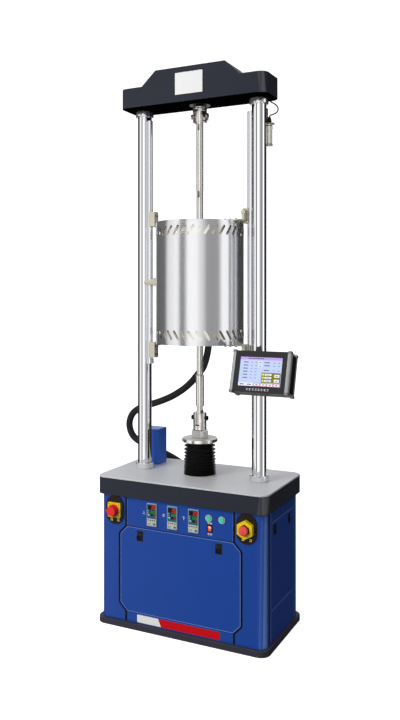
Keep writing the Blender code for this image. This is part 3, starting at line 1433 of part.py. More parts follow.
def make_thermocouples(steel):
    """Strip behind the rear half with three thermocouples that reach into the heater's bore."""
    tip_y = HEATER_BORE / 2 - 0.004
    seat_y = FURNACE_RADIUS + FURNACE_SPLIT_GAP + SEAT_GAP
    probe = THERMOCOUPLE_DIAMETER / 2
    head = THERMOCOUPLE_HEAD_DIAMETER / 2
    half = THERMOCOUPLE_STRIP_WIDTH / 2
    back_y = seat_y + THERMOCOUPLE_STRIP_THICKNESS
    bm = bmesh.new()
    extrude(bm, rectangle(-half, half, THERMOCOUPLE_ZS[0] - half, THERMOCOUPLE_ZS[-1] + half), seat_y, back_y, "Y")
    strip = add_piece("thermocouple_strip", bm, steel)
    probes = bmesh.new()
    for z in THERMOCOUPLE_ZS:
        centre = (0.0, z)
        bridge_sections(probes, [
            (ring(probe, 12, centre), tip_y),
            (ring(probe, 12, centre), seat_y + 0.002),
            (ring(head, 12, centre), seat_y + 0.002),
            (ring(head, 12, centre), seat_y + THERMOCOUPLE_HEAD_LENGTH),
        ], "Y")
    carve(strip, probes, "UNION")
    return strip


def make_terminal_box(paint):
    """Terminal box on the rear half, hollowed to the casing's curve, with the hose gland below."""
    bm = bmesh.new()
    half = TERMINAL_WIDTH / 2
    extrude(bm, rectangle(TERMINAL_X - half, TERMINAL_X + half - 0.018, TERMINAL_FRONT_Y, TERMINAL_BACK_Y),
            TERMINAL_BOTTOM_Z, TERMINAL_BOTTOM_Z + TERMINAL_HEIGHT)
    box = add_piece("furnace_terminal_box", bm, paint)
    clear = bmesh.new()
    cylinder(clear, FURNACE_RADIUS + 2 * SEAT_GAP, TERMINAL_BOTTOM_Z - 0.01,
             TERMINAL_BOTTOM_Z + TERMINAL_HEIGHT + 0.01, "Z", (0.0, FURNACE_SPLIT_GAP), FURNACE_STEPS)
    carve(box, clear)
    gland = bmesh.new()
    cylinder(gland, GLAND_DIAMETER / 2, HOSE_ROUTE[0][2] + SEAT_GAP, TERMINAL_BOTTOM_Z + 0.005, "Z",
             (TERMINAL_X, FURNACE_GLAND_Y), SMALL_STEPS)
    carve(box, gland, "UNION")
    return box


def add_slide_block(bracket, centre, side, span, plate):
    """Join a slide block to a bracket: a tall part beside its guide rod, a foot on the plate, and the bore."""
    low, high = span
    face = side * (FURNACE_RADIUS + BLOCK_CLEARANCE)
    front = centre[1] - BLOCK_HALF_DEPTH if side < 0 else HINGE_Y + HINGE_EYE_DIAMETER / 2 + 0.001
    start = centre[0] - side * BLOCK_SET_BACK
    near = min(start, face)
    far = max(start, face)
    tall = bmesh.new()
    block(tall, (near, front, low), (far, front + BLOCK_DEPTH, high))
    carve(bracket, tall, "UNION")
    foot = bmesh.new()
    block(foot, (near, front, max(low, plate[0] - TOP_BLOCK_DROP)), (far, ARM_BACK_Y, plate[1]))
    carve(bracket, foot, "UNION")
    bore = bmesh.new()
    cylinder(bore, GUIDE_ROD_DIAMETER / 2 + SLIDE_GAP, low - 0.05, high + 0.05, "Z", centre, ROD_STEPS)
    carve(bracket, bore)


def bracket_outline(left, right):
    """Return the plate of a bracket: arms at both sides, and a bridge behind the furnace's bore."""
    start = left[0] + PLATE_SET_BACK
    end = right[0] - PLATE_SET_BACK
    inner = BRIDGE_HALF_WIDTH
    return [
        (start, ARM_FRONT_Y), (-inner - 0.010, ARM_FRONT_Y), (-inner + 0.010, BRIDGE_FRONT_Y),
        (inner - 0.010, BRIDGE_FRONT_Y), (inner + 0.010, ARM_FRONT_Y), (end, ARM_FRONT_Y),
        (end, ARM_BACK_Y), (inner + 0.020, BRIDGE_BACK_Y), (-inner - 0.020, BRIDGE_BACK_Y),
        (start, ARM_BACK_Y),
    ]


def add_hinge_lug(bracket, low, cap_side, pin_end):
    """Join the lug of a bracket's hinge with its capped pin for the front half's arm."""
    reach = HINGE_EYE_DIAMETER / 2
    high = low + HINGE_LUG_THICKNESS
    lug = bmesh.new()
    block(lug, (HINGE_X - reach, HINGE_Y - reach, low), (HINGE_X + reach, HINGE_Y + reach + 0.003, high))
    carve(bracket, lug, "UNION")
    pin = HINGE_PIN_DIAMETER / 2
    cap = HINGE_CAP_DIAMETER / 2
    centre = (HINGE_X, HINGE_Y)
    outer = high if cap_side > 0 else low
    overlap = outer - cap_side * 0.002
    end = outer + cap_side * 0.007
    piece = bmesh.new()
    sections = [
        (ring(pin, SMALL_STEPS, centre), pin_end),
        (ring(pin, SMALL_STEPS, centre), overlap),
        (ring(cap, SMALL_STEPS, centre), overlap),
        (ring(cap, SMALL_STEPS, centre), end),
    ]
    bridge_sections(piece, sections)
    carve(bracket, piece, "UNION")


def make_brackets(cream):
    """Top and bottom brackets that carry the rear half on the guide rods, with the hinge pins."""
    left, right = guide_places()
    top_plate = (FURNACE_TOP_Z + SEAT_GAP, FURNACE_TOP_Z + SEAT_GAP + ARM_THICKNESS)
    bottom_plate = (FURNACE_BOTTOM_Z - SEAT_GAP - ARM_THICKNESS, FURNACE_BOTTOM_Z - SEAT_GAP)
    top_low = FURNACE_TOP_Z - TOP_BLOCK_DROP
    spans = (
        ("top", top_plate, top_low, top_low + BLOCK_HEIGHT),
        ("bottom", bottom_plate, BLOCK_BOTTOM_Z, bottom_plate[1]),
    )
    brackets = []
    for label, plate, low, high in spans:
        bm = bmesh.new()
        extrude(bm, bracket_outline(left, right), plate[0], plate[1])
        bracket = add_piece("furnace_%s_bracket" % label, bm, cream)
        add_slide_block(bracket, left, -1, (low, high), plate)
        add_slide_block(bracket, right, 1, (low, high), plate)
        brackets.append(bracket)
    eye_top = FURNACE_TOP_Z + HINGE_EYE_HEIGHT
    eye_bottom = FURNACE_BOTTOM_Z - HINGE_EYE_HEIGHT
    add_hinge_lug(brackets[0], eye_top + SLIDE_GAP, 1, FURNACE_TOP_Z + 0.004)
    add_hinge_lug(brackets[1], eye_bottom - SLIDE_GAP - HINGE_LUG_THICKNESS, -1, FURNACE_BOTTOM_Z - 0.004)
    return brackets


def add_front_fittings(casing):
    """Join the hinge arms to both ends of the front casing, and the latch's lugs to its side."""
    reach = HINGE_EYE_DIAMETER / 2
    arm_back = HINGE_Y + reach - 0.0005
    arm_front = HINGE_Y - 0.028
    outline = [
        (FRONT_ARM_END_X, arm_front), (HINGE_X - 0.010, arm_front), (HINGE_X + 0.004, HINGE_Y - 0.004),
        (HINGE_X, HINGE_Y + 0.004), (HINGE_X - 0.016, arm_back), (FRONT_ARM_END_X, arm_back),
    ]
    overlap = 0.001
    for end, outward in ((FURNACE_TOP_Z, 1), (FURNACE_BOTTOM_Z, -1)):
        inner = end - outward * overlap
        arm_end = end + outward * ARM_THICKNESS
        eye_start = end + outward * 0.0005
        eye_end = end + outward * HINGE_EYE_HEIGHT
        arm = bmesh.new()
        extrude(arm, outline, min(inner, arm_end), max(inner, arm_end))
        carve(casing, arm, "UNION")
        eye = bmesh.new()
        cylinder(eye, reach, min(eye_start, eye_end), max(eye_start, eye_end), "Z", (HINGE_X, HINGE_Y), SMALL_STEPS)
        carve(casing, eye, "UNION")
        hole = bmesh.new()
        far = end + outward * 0.05
        near = end - outward * 0.004
        cylinder(hole, HINGE_PIN_DIAMETER / 2 + 2 * SLIDE_GAP, min(near, far), max(near, far), "Z",
                 (HINGE_X, HINGE_Y), SMALL_STEPS)
        carve(casing, hole)
    lugs = bmesh.new()
    latch_bracket(lugs)
    carve(casing, lugs, "UNION")


def latch_frame():
    """Return the latch's place on the casing and its outward and sideways directions."""
    angle = math.radians(LATCH_ANGLE_DEG)
    out = Vector((math.cos(angle), math.sin(angle), 0.0))
    along = Vector((-math.sin(angle), math.cos(angle), 0.0))
    return out * (FURNACE_RADIUS * math.cos(math.pi / FURNACE_STEPS)), out, along


def local_block(bm, place, out, along, low, high):
    """Add a box in the latch's own directions: outward, sideways and up."""
    corners = []
    for level in (low[2], high[2]):
        for o, s in ((low[0], low[1]), (high[0], low[1]), (high[0], high[1]), (low[0], high[1])):
            corners.append(bm.verts.new(place + out * o + along * s + Vector((0.0, 0.0, level))))
    for face in ((0, 1, 2, 3), (4, 5, 6, 7), (0, 1, 5, 4), (1, 2, 6, 5), (2, 3, 7, 6), (3, 0, 4, 7)):
        bm.faces.new([corners[index] for index in face])


def latch_bracket(bm):
    """Add the two lugs that carry the latch handle on the front casing."""
    place, out, along = latch_frame()
    half = HANDLE_HEIGHT / 2
    for low, high in ((half + SLIDE_GAP, half + 0.004), (-half - 0.004, -half - SLIDE_GAP)):
        local_block(bm, place, out, along, (-0.001, -0.009, LATCH_Z + low), (0.016, 0.009, LATCH_Z + high))


def make_latch(finish):
    """Wedge-shaped handle that holds the halves together."""
    place, out, along = latch_frame()
    half = HANDLE_HEIGHT / 2
    bm = bmesh.new()
    sections = ((0.004, 0.006, 1.0), (0.016, 0.006, 1.0), (0.032, 0.005, 0.9), (LATCH_REACH, 0.003, 0.25))
    loops = []
    for reach, thick, share in sections:
        loop = []
        for side, end in ((-1, -1), (1, -1), (1, 1), (-1, 1)):
            height = Vector((0.0, 0.0, LATCH_Z + end * half * share))
            loop.append(bm.verts.new(place + out * reach + along * (side * thick) + height))
        loops.append(loop)
    bm.faces.new(loops[0])
    bm.faces.new(loops[-1])
    for first, second in zip(loops, loops[1:]):
        for index in range(4):
            after = (index + 1) % 4
            bm.faces.new((first[index], first[after], second[after], second[index]))
    return add_piece("furnace_latch", bm, finish)


def make_furnace(steel, ceramic, cream, machined):
    """Split furnace: the rear half on its brackets, and the front half on its hinge pins."""
    rear_shell, rear_lining = make_furnace_half("rear", 0.0, steel, ceramic)
    front_shell, front_lining = make_furnace_half("front", 180.0, steel, ceramic)
    add_front_fittings(front_shell)
    carve(rear_shell, probe_cutters(SEAT_GAP))
    carve(rear_lining, probe_cutters(SEAT_GAP))
    lift = joint_frame("furnace_lift", (0.0, 0.0, FURNACE_BOTTOM_Z))
    hang([rear_shell, rear_lining, make_thermocouples(machined), make_terminal_box(steel)], lift)
    hang(make_brackets(cream), lift)
    swing = joint_frame("furnace_front_swing", (HINGE_X, HINGE_Y, FURNACE_BOTTOM_Z), lift)
    hang([front_shell, front_lining], swing)
    place, out, along = latch_frame()
    pivot = place + out * 0.008
    latch_joint = joint_frame("furnace_latch_turn", (pivot.x, pivot.y, LATCH_Z), swing)
    hang([make_latch(cream)], latch_joint)


def smooth_route(points, count):
    """Return points along a smooth curve through a route's own points."""
    places = [Vector(point) for point in points]
    spans = []
    for index in range(len(places) - 1):
        here = places[index]
        ahead = places[index + 1]
        before = places[index - 1] if index > 0 else here - (ahead - here)
        after = places[index + 2] if index + 2 < len(places) else ahead + (ahead - here)
        start_pull = here + (ahead - before) / 6.0
        end_pull = ahead - (after - here) / 6.0
        fine = interpolate_bezier(here, start_pull, end_pull, ahead, 12)
        spans += fine[:-1] if index < len(places) - 2 else fine
    lengths = [0.0]
    for first, second in zip(spans, spans[1:]):
        lengths.append(lengths[-1] + (second - first).length)
    wanted = []
    for step in range(count):
        target = lengths[-1] * step / (count - 1)
        index = 0
        while index < len(lengths) - 2 and lengths[index + 1] < target:
            index += 1
        share = (target - lengths[index]) / (lengths[index + 1] - lengths[index])
        wanted.append(spans[index].lerp(spans[index + 1], share))
    return wanted


def make_cord(name, route, count, diameter, rubber, resolution):
    """Add a cord as a bevelled curve with filled caps."""
    curve = bpy.data.curves.new(name, "CURVE")
    curve.dimensions = "3D"
    curve.bevel_depth = diameter / 2
    curve.bevel_resolution = resolution
    curve.use_fill_caps = True
    spline = curve.splines.new("POLY")
    points = smooth_route(route, count)
    spline.points.add(len(points) - 1)
    for slot, place in zip(spline.points, points):
        slot.co = (place.x, place.y, place.z, 1.0)
    cord = bpy.data.objects.new(name, curve)
    curve.materials.append(rubber)
    bpy.context.scene.collection.objects.link(cord)
    return cord


def make_junction_box(paint):
    """Blue terminal box on the table behind the left column."""
    middle = ((BOX_LOW_X + BOX_HIGH_X) / 2, (BOX_LOW_Y + BOX_HIGH_Y) / 2)
    width = BOX_HIGH_X - BOX_LOW_X
    depth = BOX_HIGH_Y - BOX_LOW_Y
    bm = bmesh.new()
    low = TABLE_TOP_Z + SEAT_GAP
    bridge_sections(bm, [
        (rounded_rectangle(width, depth, 0.004, middle, 2), low),
        (rounded_rectangle(width, depth, 0.004, middle, 2), low + BOX_HEIGHT - 0.002),
        (rounded_rectangle(width - 0.004, depth - 0.004, 0.002, middle, 2), low + BOX_HEIGHT),
    ])
    return add_piece("junction_box", bm, paint)


def make_sensor(steel):
    """Position sensor beside the right column, hung from its angle bracket, with its cable gland on top."""
    radius = SENSOR_DIAMETER / 2
    low = SENSOR_TOP_Z - SENSOR_LENGTH
    foot_low = SENSOR_TOP_Z
    foot_high = foot_low + BRACKET_THICKNESS
    gland_high = SENSOR_CABLE_ROUTE[0][2] - SEAT_GAP
    profile = [
        (0.0, low), (radius - 0.001, low), (radius, low + 0.001), (radius, low + SENSOR_RING),
        (radius - 0.001, low + SENSOR_RING), (radius - 0.001, SENSOR_TOP_Z - 0.020),
        (radius, SENSOR_TOP_Z - 0.020), (radius, SENSOR_TOP_Z - 0.012), (radius - 0.001, SENSOR_TOP_Z - 0.012),
        (radius - 0.001, foot_low + 0.001), (0.009, foot_low + 0.001), (0.009, foot_high + 0.012),
        (0.005, gland_high), (0.0, gland_high),
    ]
    bm = bmesh.new()
    turn(bm, profile, SMALL_STEPS, "Z", (SENSOR_X, SENSOR_Y))
    sensor = add_piece("position_sensor", bm, steel)
    start = COLUMN_X + 0.018
    half = BRACKET_WIDTH / 2
    angle = bmesh.new()
    outline = [
        (start, foot_low), (SENSOR_X + radius + 0.006, foot_low), (SENSOR_X + radius + 0.006, foot_high),
        (start + BRACKET_THICKNESS, foot_high), (start + BRACKET_THICKNESS, foot_low + BRACKET_RISE),
        (start, foot_low + BRACKET_RISE),
    ]
    extrude(angle, outline, SENSOR_Y - half, SENSOR_Y + half, "Y")
    carve(sensor, angle, "UNION")
    clear = bmesh.new()
    cylinder(clear, COLUMN_RADIUS + SEAT_GAP, foot_low - 0.01, foot_low + BRACKET_RISE + 0.01, "Z",
             (COLUMN_X, 0.0), ROUND_STEPS)
    carve(sensor, clear)
    return sensor


def make_switch_bases(black):
    """Oval plates of the main switch and the emergency stop, with the square and the guard on them."""
    back = FRONT_Y - SEAT_GAP
    front = back - SWITCH_PLATE_THICKNESS
    radius = SWITCH_PLATE_WIDTH / 2 - 0.001
    for name, side in (("main_switch_base", -1), ("emergency_stop_base", 1)):
        bm = bmesh.new()
        centre = (side * SWITCH_X, CONTROL_Z)
        extrude(bm, rounded_rectangle(SWITCH_PLATE_WIDTH, SWITCH_PLATE_HEIGHT, radius, centre), front, back, "Y")
        base = add_piece(name, bm, black)
        raised = bmesh.new()
        seat = front + 0.001
        if side < 0:
            extrude(raised, rounded_rectangle(SWITCH_SQUARE, SWITCH_SQUARE, 0.004, centre, 2),
                    front - SWITCH_SQUARE_THICKNESS, seat, "Y")
            carve(base, raised, "UNION")
        else:
            guard = GUARD_ACROSS / 2
            profile = [(GUARD_BORE / 2, front - GUARD_HEIGHT), (guard, front - GUARD_HEIGHT), (guard, seat),
                       (GUARD_BORE / 2, seat)]
            turn(raised, profile, 6, "Y", centre, 30.0)
            carve(base, raised, "UNION")
            stem = bmesh.new()
            cylinder(stem, STOP_BUTTON_DIAMETER / 2 - 0.004, front - STOP_STEM_HEIGHT, seat, "Y", centre,
                     SMALL_STEPS)
            carve(base, stem, "UNION")
            bore = bmesh.new()
            cylinder(bore, STOP_SPINDLE_DIAMETER / 2 + SLIDE_GAP, front - STOP_STEM_HEIGHT - 0.01, front + 0.002,
                     "Y", centre, ROD_STEPS)
            carve(base, bore)


def make_main_knob(red):
    """Red rotary handle of the main switch, with its pointer to the left."""
    centre = (-SWITCH_X, CONTROL_Z)
    seat = FRONT_Y - 2 * SEAT_GAP - SWITCH_PLATE_THICKNESS - SWITCH_SQUARE_THICKNESS
    bm = bmesh.new()
    radius = KNOB_DIAMETER / 2
    bridge_sections(bm, [
        (ring(radius, ROD_STEPS, centre), seat),
        (ring(radius, ROD_STEPS, centre), seat - 0.010),
        (ring(radius * 0.86, ROD_STEPS, centre), seat - 0.016),
        (ring(radius * 0.82, ROD_STEPS, centre), seat - KNOB_HEIGHT),
    ], "Y")
    knob = add_piece("main_switch_knob", bm, red)
    pointer = bmesh.new()
    left = centre[0] - radius
    extrude(pointer, [(left - 0.006, CONTROL_Z), (left + 0.012, CONTROL_Z - 0.010), (left + 0.012, CONTROL_Z + 0.010)],
            seat - KNOB_HEIGHT + 0.004, seat - 0.004, "Y")
    carve(knob, pointer, "UNION")
    hang([knob], joint_frame("main_switch_turn", (centre[0], seat, centre[1])))


def make_stop_button(red):
    """Mushroom button of the emergency stop."""
    centre = (SWITCH_X, CONTROL_Z)
    plate_front = FRONT_Y - SEAT_GAP - SWITCH_PLATE_THICKNESS
    base = plate_front - STOP_STEM_HEIGHT
    low = base - STOP_BUTTON_TRAVEL - 0.001
    radius = STOP_BUTTON_DIAMETER / 2
    bm = bmesh.new()
    spindle = STOP_SPINDLE_DIAMETER / 2
    spindle_end = plate_front - STOP_BUTTON_TRAVEL - 0.001
    bridge_sections(bm, [
        (ring(spindle, ROD_STEPS, centre), spindle_end),
        (ring(spindle, ROD_STEPS, centre), low),
        (ring(radius * 0.55, ROD_STEPS, centre), low),
        (ring(radius * 0.55, ROD_STEPS, centre), low - 0.006),
        (ring(radius * 0.92, ROD_STEPS, centre), low - 0.009),
        (ring(radius, ROD_STEPS, centre), low - 0.015),
        (ring(radius * 0.86, ROD_STEPS, centre), low - 0.020),
        (ring(radius * 0.45, ROD_STEPS, centre), low - 0.0225),
    ], "Y")
    button = add_piece("emergency_stop_button", bm, red)
    hang([button], joint_frame("emergency_stop_press", (centre[0], low, centre[1])))


def make_controllers(grey):
    """Three temperature controllers: bezel in front of the strip, body behind it."""
    front = FRONT_Y - SEAT_GAP - CONTROLLER_BEZEL
    seat = FRONT_Y - SEAT_GAP
    back = seat + CONTROLLER_DEPTH
    for label, x in zip(("left", "middle", "right"), CONTROLLER_XS):
        bm = bmesh.new()
        full = rounded_rectangle(CONTROLLER_WIDTH, CONTROLLER_HEIGHT, 0.003, (x, CONTROL_Z), 2)
        face = rounded_rectangle(CONTROLLER_WIDTH - 0.003, CONTROLLER_HEIGHT - 0.003, 0.002, (x, CONTROL_Z), 2)
        body = rounded_rectangle(CONTROLLER_WIDTH - 0.004, CONTROLLER_HEIGHT - 0.006, 0.001, (x, CONTROL_Z), 2)
        bridge_sections(bm, [(face, front), (full, front + 0.0015), (full, seat), (body, seat), (body, back)], "Y")
        add_piece("temperature_controller_" + label, bm, grey)


def make_push_buttons(green):
    """Two green push buttons, each with its own travel."""
    seat = FRONT_Y + PANEL_THICKNESS
    front = FRONT_Y - BUTTON_BEZEL_HEIGHT - BUTTON_PROUD
    radius = BUTTON_CAP_DIAMETER / 2
    for label, x in zip(("left", "right"), BUTTON_XS):
        centre = (x, BUTTON_Z)
        bm = bmesh.new()
        bridge_sections(bm, [
            (ring(radius, SMALL_STEPS, centre), seat),
            (ring(radius, SMALL_STEPS, centre), front + 0.001),
            (ring(radius - 0.001, SMALL_STEPS, centre), front),
        ], "Y")
        button = add_piece("push_button_" + label, bm, green)
        hang([button], joint_frame("push_button_%s_press" % label, (x, front, BUTTON_Z)))


def make_rocker(red):
    """Rocker switch that tips about its middle."""
    half_x = ROCKER_WIDTH / 2
    half_z = ROCKER_HEIGHT / 2 - 0.001
    front = FRONT_Y - 0.002
    bm = bmesh.new()
    side = [(front + 0.008, ROCKER_Z - half_z + 0.004), (front - 0.001, ROCKER_Z - half_z),
            (front + 0.001, ROCKER_Z), (front - 0.001, ROCKER_Z + half_z),
            (front + 0.008, ROCKER_Z + half_z - 0.004)]
    extrude(bm, side, ROCKER_X - half_x, ROCKER_X + half_x, "X")
    rocker = add_piece("rocker_switch", bm, red)
    hang([rocker], joint_frame("rocker_tip", (ROCKER_X, front + 0.005, ROCKER_Z)))


def make_panel_clamp(paint):
    """Clamp on the right column, with an arm and a barrel for the operator panel's tilt."""
    inner = COLUMN_RADIUS + SEAT_GAP
    outer = COLUMN_RADIUS + CLAMP_WALL
    low = CLAMP_BOTTOM_Z
    high = low + CLAMP_HEIGHT
    bm = bmesh.new()
    extrude(bm, ring(outer, ROUND_STEPS, (COLUMN_X, 0.0)), low, high)
    clamp = add_piece("panel_clamp", bm, paint)
    arm = bmesh.new()
    barrel_half = PIVOT_BARREL_LENGTH / 2
    outline = [
        (COLUMN_X + 0.004, 0.0), (COLUMN_X + 0.034, 0.0),
        (PANEL_CENTRE_X + barrel_half, PANEL_PIVOT_Y + 0.016), (PANEL_CENTRE_X + barrel_half, PANEL_PIVOT_Y),
        (PANEL_CENTRE_X - barrel_half, PANEL_PIVOT_Y), (PANEL_CENTRE_X - barrel_half, PANEL_PIVOT_Y + 0.016),
        (COLUMN_X - 0.010, -0.036),
    ]
    middle = PANEL_PIVOT_Z
    extrude(arm, outline, middle - 0.008, middle + 0.008)
    carve(clamp, arm, "UNION")
    barrel = bmesh.new()
    cylinder(barrel, PIVOT_BARREL_DIAMETER / 2, PANEL_CENTRE_X - barrel_half, PANEL_CENTRE_X + barrel_half, "X",
             (PANEL_PIVOT_Y, middle), SMALL_STEPS)
    carve(clamp, barrel, "UNION")
    bores = bmesh.new()
    cylinder(bores, inner, low - 0.01, high + 0.01, "Z", (COLUMN_X, 0.0), ROUND_STEPS)
    cylinder(bores, PIVOT_PIN_DIAMETER / 2 + 2 * SLIDE_GAP, PANEL_CENTRE_X - 0.05, PANEL_CENTRE_X + 0.05, "X",
             (PANEL_PIVOT_Y, middle), SMALL_STEPS)
    carve(clamp, bores)
    swivel = joint_frame("panel_swivel", (COLUMN_X, 0.0, middle))
    hang([clamp], swivel)
    return swivel


def panel_rail(side, front, back, low, high):
    """Return one upright side rail with its chamfered outer edges."""
    outer = side * (PANEL_WIDTH / 2)
    inner = side * (PANEL_WIDTH / 2 - RAIL_WIDTH)
    chamfer = 0.003
    waist = outer - side * 0.006
    near = front - RAIL_PROUD
    outline = [
        (inner, near), (outer - side * chamfer, near), (outer, near + chamfer),
        (outer, near + RAIL_DEPTH), (waist, near + RAIL_DEPTH), (waist, back - RAIL_DEPTH),
        (outer, back - RAIL_DEPTH), (outer, back - chamfer), (outer - side * chamfer, back), (inner, back),
    ]
    bm = bmesh.new()
    extrude(bm, [(PANEL_CENTRE_X + x, y) for x, y in outline], low, high)
    return bm


def make_operator_panel(black, swivel):
    """Operator panel: case with side rails, recessed screen, and the ears and pin of its tilt joint."""
    back = PANEL_PIVOT_Y - PANEL_BACK_GAP
    front = back - PANEL_DEPTH
    low = PANEL_PIVOT_Z + PANEL_RISE - PANEL_HEIGHT / 2
    high = low + PANEL_HEIGHT
    half = PANEL_WIDTH / 2 - RAIL_WIDTH + 0.001
    case = bmesh.new()
    block(case, (PANEL_CENTRE_X - half, front, low + 0.003), (PANEL_CENTRE_X + half, back - 0.001, high - 0.003))
    panel = add_piece("operator_panel", case, black)
    carve(panel, panel_rail(-1, front, back, low, high), "UNION")
    carve(panel, panel_rail(1, front, back, low, high), "UNION")
    ears = bmesh.new()
    ear_low = PIVOT_BARREL_LENGTH / 2 + SEAT_GAP
    for side in (-1, 1):
        near = PANEL_CENTRE_X + side * ear_low
        far = near + side * PIVOT_EAR_THICKNESS
        outline = [(back - 0.003, PANEL_PIVOT_Z - 0.012), (PANEL_PIVOT_Y + 0.004, PANEL_PIVOT_Z - 0.008),
                   (PANEL_PIVOT_Y + 0.008, PANEL_PIVOT_Z), (PANEL_PIVOT_Y + 0.004, PANEL_PIVOT_Z + 0.008),
                   (back - 0.003, PANEL_PIVOT_Z + 0.012)]
        extrude(ears, outline, min(near, far), max(near, far), "X")
    carve(panel, ears, "UNION")
    pin = bmesh.new()
    pin_half = PIVOT_BARREL_LENGTH / 2 + PIVOT_EAR_THICKNESS + 0.004
    cylinder(pin, PIVOT_PIN_DIAMETER / 2, PANEL_CENTRE_X - pin_half, PANEL_CENTRE_X + pin_half, "X",
             (PANEL_PIVOT_Y, PANEL_PIVOT_Z), SMALL_STEPS)
    carve(panel, pin, "UNION")
    cuts = bmesh.new()
    middle_z = (low + high) / 2
    block(cuts, (PANEL_CENTRE_X - SCREEN_WIDTH / 2, front - 0.01, middle_z - SCREEN_HEIGHT / 2),
          (PANEL_CENTRE_X + SCREEN_WIDTH / 2, front + SCREEN_RECESS, middle_z + SCREEN_HEIGHT / 2))
    carve(panel, cuts)
    pivot = Vector((PANEL_CENTRE_X, PANEL_PIVOT_Y, PANEL_PIVOT_Z))
    lean = Matrix.Rotation(math.radians(-PANEL_TILT_DEG), 4, "X")
    panel.data.transform(Matrix.Translation(pivot) @ lean @ Matrix.Translation(-pivot))
    hang([panel], joint_frame("panel_tilt", pivot, swivel))


def build_machine():
    """Build every sub-part."""
    clear_scene()
    finish = finishes()
    make_plinth(finish["dark_paint"])
    make_table(finish["dark_paint"])
    make_top_plate(finish["brushed_steel"])
    make_cabinet(finish["blue_paint"])
    make_control_panel(finish["blue_paint"])
    make_front_door(finish["blue_paint"], finish["black_plastic"])
    make_side_panel("left", -1, finish["blue_paint"], finish["black_plastic"])
    make_side_panel("right", 1, finish["blue_paint"], finish["black_plastic"])
    make_columns(finish["chrome"])
    make_crosshead(finish["dark_paint"])
    make_load_cell(finish["machined_steel"])
    make_upper_clevis(finish["machined_steel"])
    make_upper_pin(finish["machined_steel"])
    make_upper_rod(finish["machined_steel"])
    make_actuator(finish["machined_steel"], finish["chrome"], finish["black_oxide"], finish["black_rubber"])
    make_bearing_housing(finish["dark_paint"])
    make_screw(finish["machined_steel"])
    make_motor(finish["black_plastic"])
    make_motor_pulley(finish["machined_steel"])
    make_belt(finish["black_rubber"])
    make_guides(finish["chrome"])
    make_furnace(finish["polished_steel"], finish["ceramic"], finish["cream_paint"], finish["machined_steel"])
    make_cord("furnace_hose", HOSE_ROUTE, HOSE_POINTS, HOSE_DIAMETER, finish["black_rubber"], 3)
    make_junction_box(finish["blue_paint"])
    make_sensor(finish["zinc"])
    make_cord("sensor_cable", SENSOR_CABLE_ROUTE, SENSOR_CABLE_POINTS, SENSOR_CABLE_DIAMETER,
              finish["black_rubber"], 2)
    make_switch_bases(finish["black_plastic"])
    make_main_knob(finish["red_plastic"])
    make_stop_button(finish["red_plastic"])
    make_controllers(finish["grey_plastic"])
    make_push_buttons(finish["green_plastic"])
    make_rocker(finish["red_plastic"])
    swivel = make_panel_clamp(finish["dark_paint"])
    make_operator_panel(finish["black_plastic"], swivel)
    shade_all()


build_machine()
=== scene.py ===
# %% [markdown]
# A creep testing machine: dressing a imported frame
#
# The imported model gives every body, joint and solid of the machine. This scene keeps that frame still
# and dresses it: finishes on the solids, finer turned and slotted pieces where the solids are plain,
# and the small things that a person reads first, such as displays, screws and the screen.

# %% Load the frame
import math

import bmesh
import bpy
from mathutils import Matrix, Vector
from mathutils.geometry import interpolate_bezier


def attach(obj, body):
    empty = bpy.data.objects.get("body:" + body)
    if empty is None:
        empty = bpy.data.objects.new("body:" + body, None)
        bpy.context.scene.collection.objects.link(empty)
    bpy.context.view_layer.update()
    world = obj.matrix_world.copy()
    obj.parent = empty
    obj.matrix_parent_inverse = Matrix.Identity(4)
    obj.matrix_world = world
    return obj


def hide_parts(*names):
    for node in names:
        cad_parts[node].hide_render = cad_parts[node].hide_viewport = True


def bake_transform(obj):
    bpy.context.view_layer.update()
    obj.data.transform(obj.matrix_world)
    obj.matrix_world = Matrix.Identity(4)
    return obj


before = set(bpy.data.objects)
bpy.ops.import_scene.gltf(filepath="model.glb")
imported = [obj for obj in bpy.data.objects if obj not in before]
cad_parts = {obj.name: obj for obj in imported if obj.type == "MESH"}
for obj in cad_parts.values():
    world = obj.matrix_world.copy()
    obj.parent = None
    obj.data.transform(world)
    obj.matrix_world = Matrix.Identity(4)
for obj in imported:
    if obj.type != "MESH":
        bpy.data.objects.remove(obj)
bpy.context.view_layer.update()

# %% [markdown]
# Camera and sizes
#
# The camera is the one that the photograph was taken with, worked out from the upright edges of the
# columns and the ends of the crosshead. The sizes are read from the frame or repeat the part's own.

# %% Camera and sizes
CAMERA_PLACE = (1.44685, -2.94431, 1.41304)
CAMERA_TURN_DEG = 26.16
CAMERA_LENS = 37.88
CAMERA_SHIFT = -0.0933

SEAT_GAP = 0.0003
PRINT = 0.00015
PRINT_GAP = 0.00002
FRONT_Y = -0.201
SIDE_X = 0.377
TABLE_TOP_Z = 0.629
CROSSHEAD_FRONT_Y = -0.103
CROSSHEAD_BOTTOM_Z = 2.223
COLUMN_X = 0.275
CONTROL_Z = 0.489
SWITCH_X = 0.303
FURNACE_RADIUS = 0.191
FURNACE_BOTTOM_Z = 1.195
FURNACE_TOP_Z = 1.716

bpy.context.scene.view_settings.view_transform = "Standard"
camera_data = bpy.data.cameras.new("photo_camera")
camera_data.lens = CAMERA_LENS
camera_data.sensor_width = 36.0
camera_data.sensor_fit = "AUTO"
camera_data.shift_y = CAMERA_SHIFT
camera = bpy.data.objects.new("photo_camera", camera_data)
camera.location = CAMERA_PLACE
camera.rotation_euler = (math.radians(90.0), 0.0, math.radians(CAMERA_TURN_DEG))
bpy.context.scene.collection.objects.link(camera)
bpy.context.scene.camera = camera
print("camera at", CAMERA_PLACE)

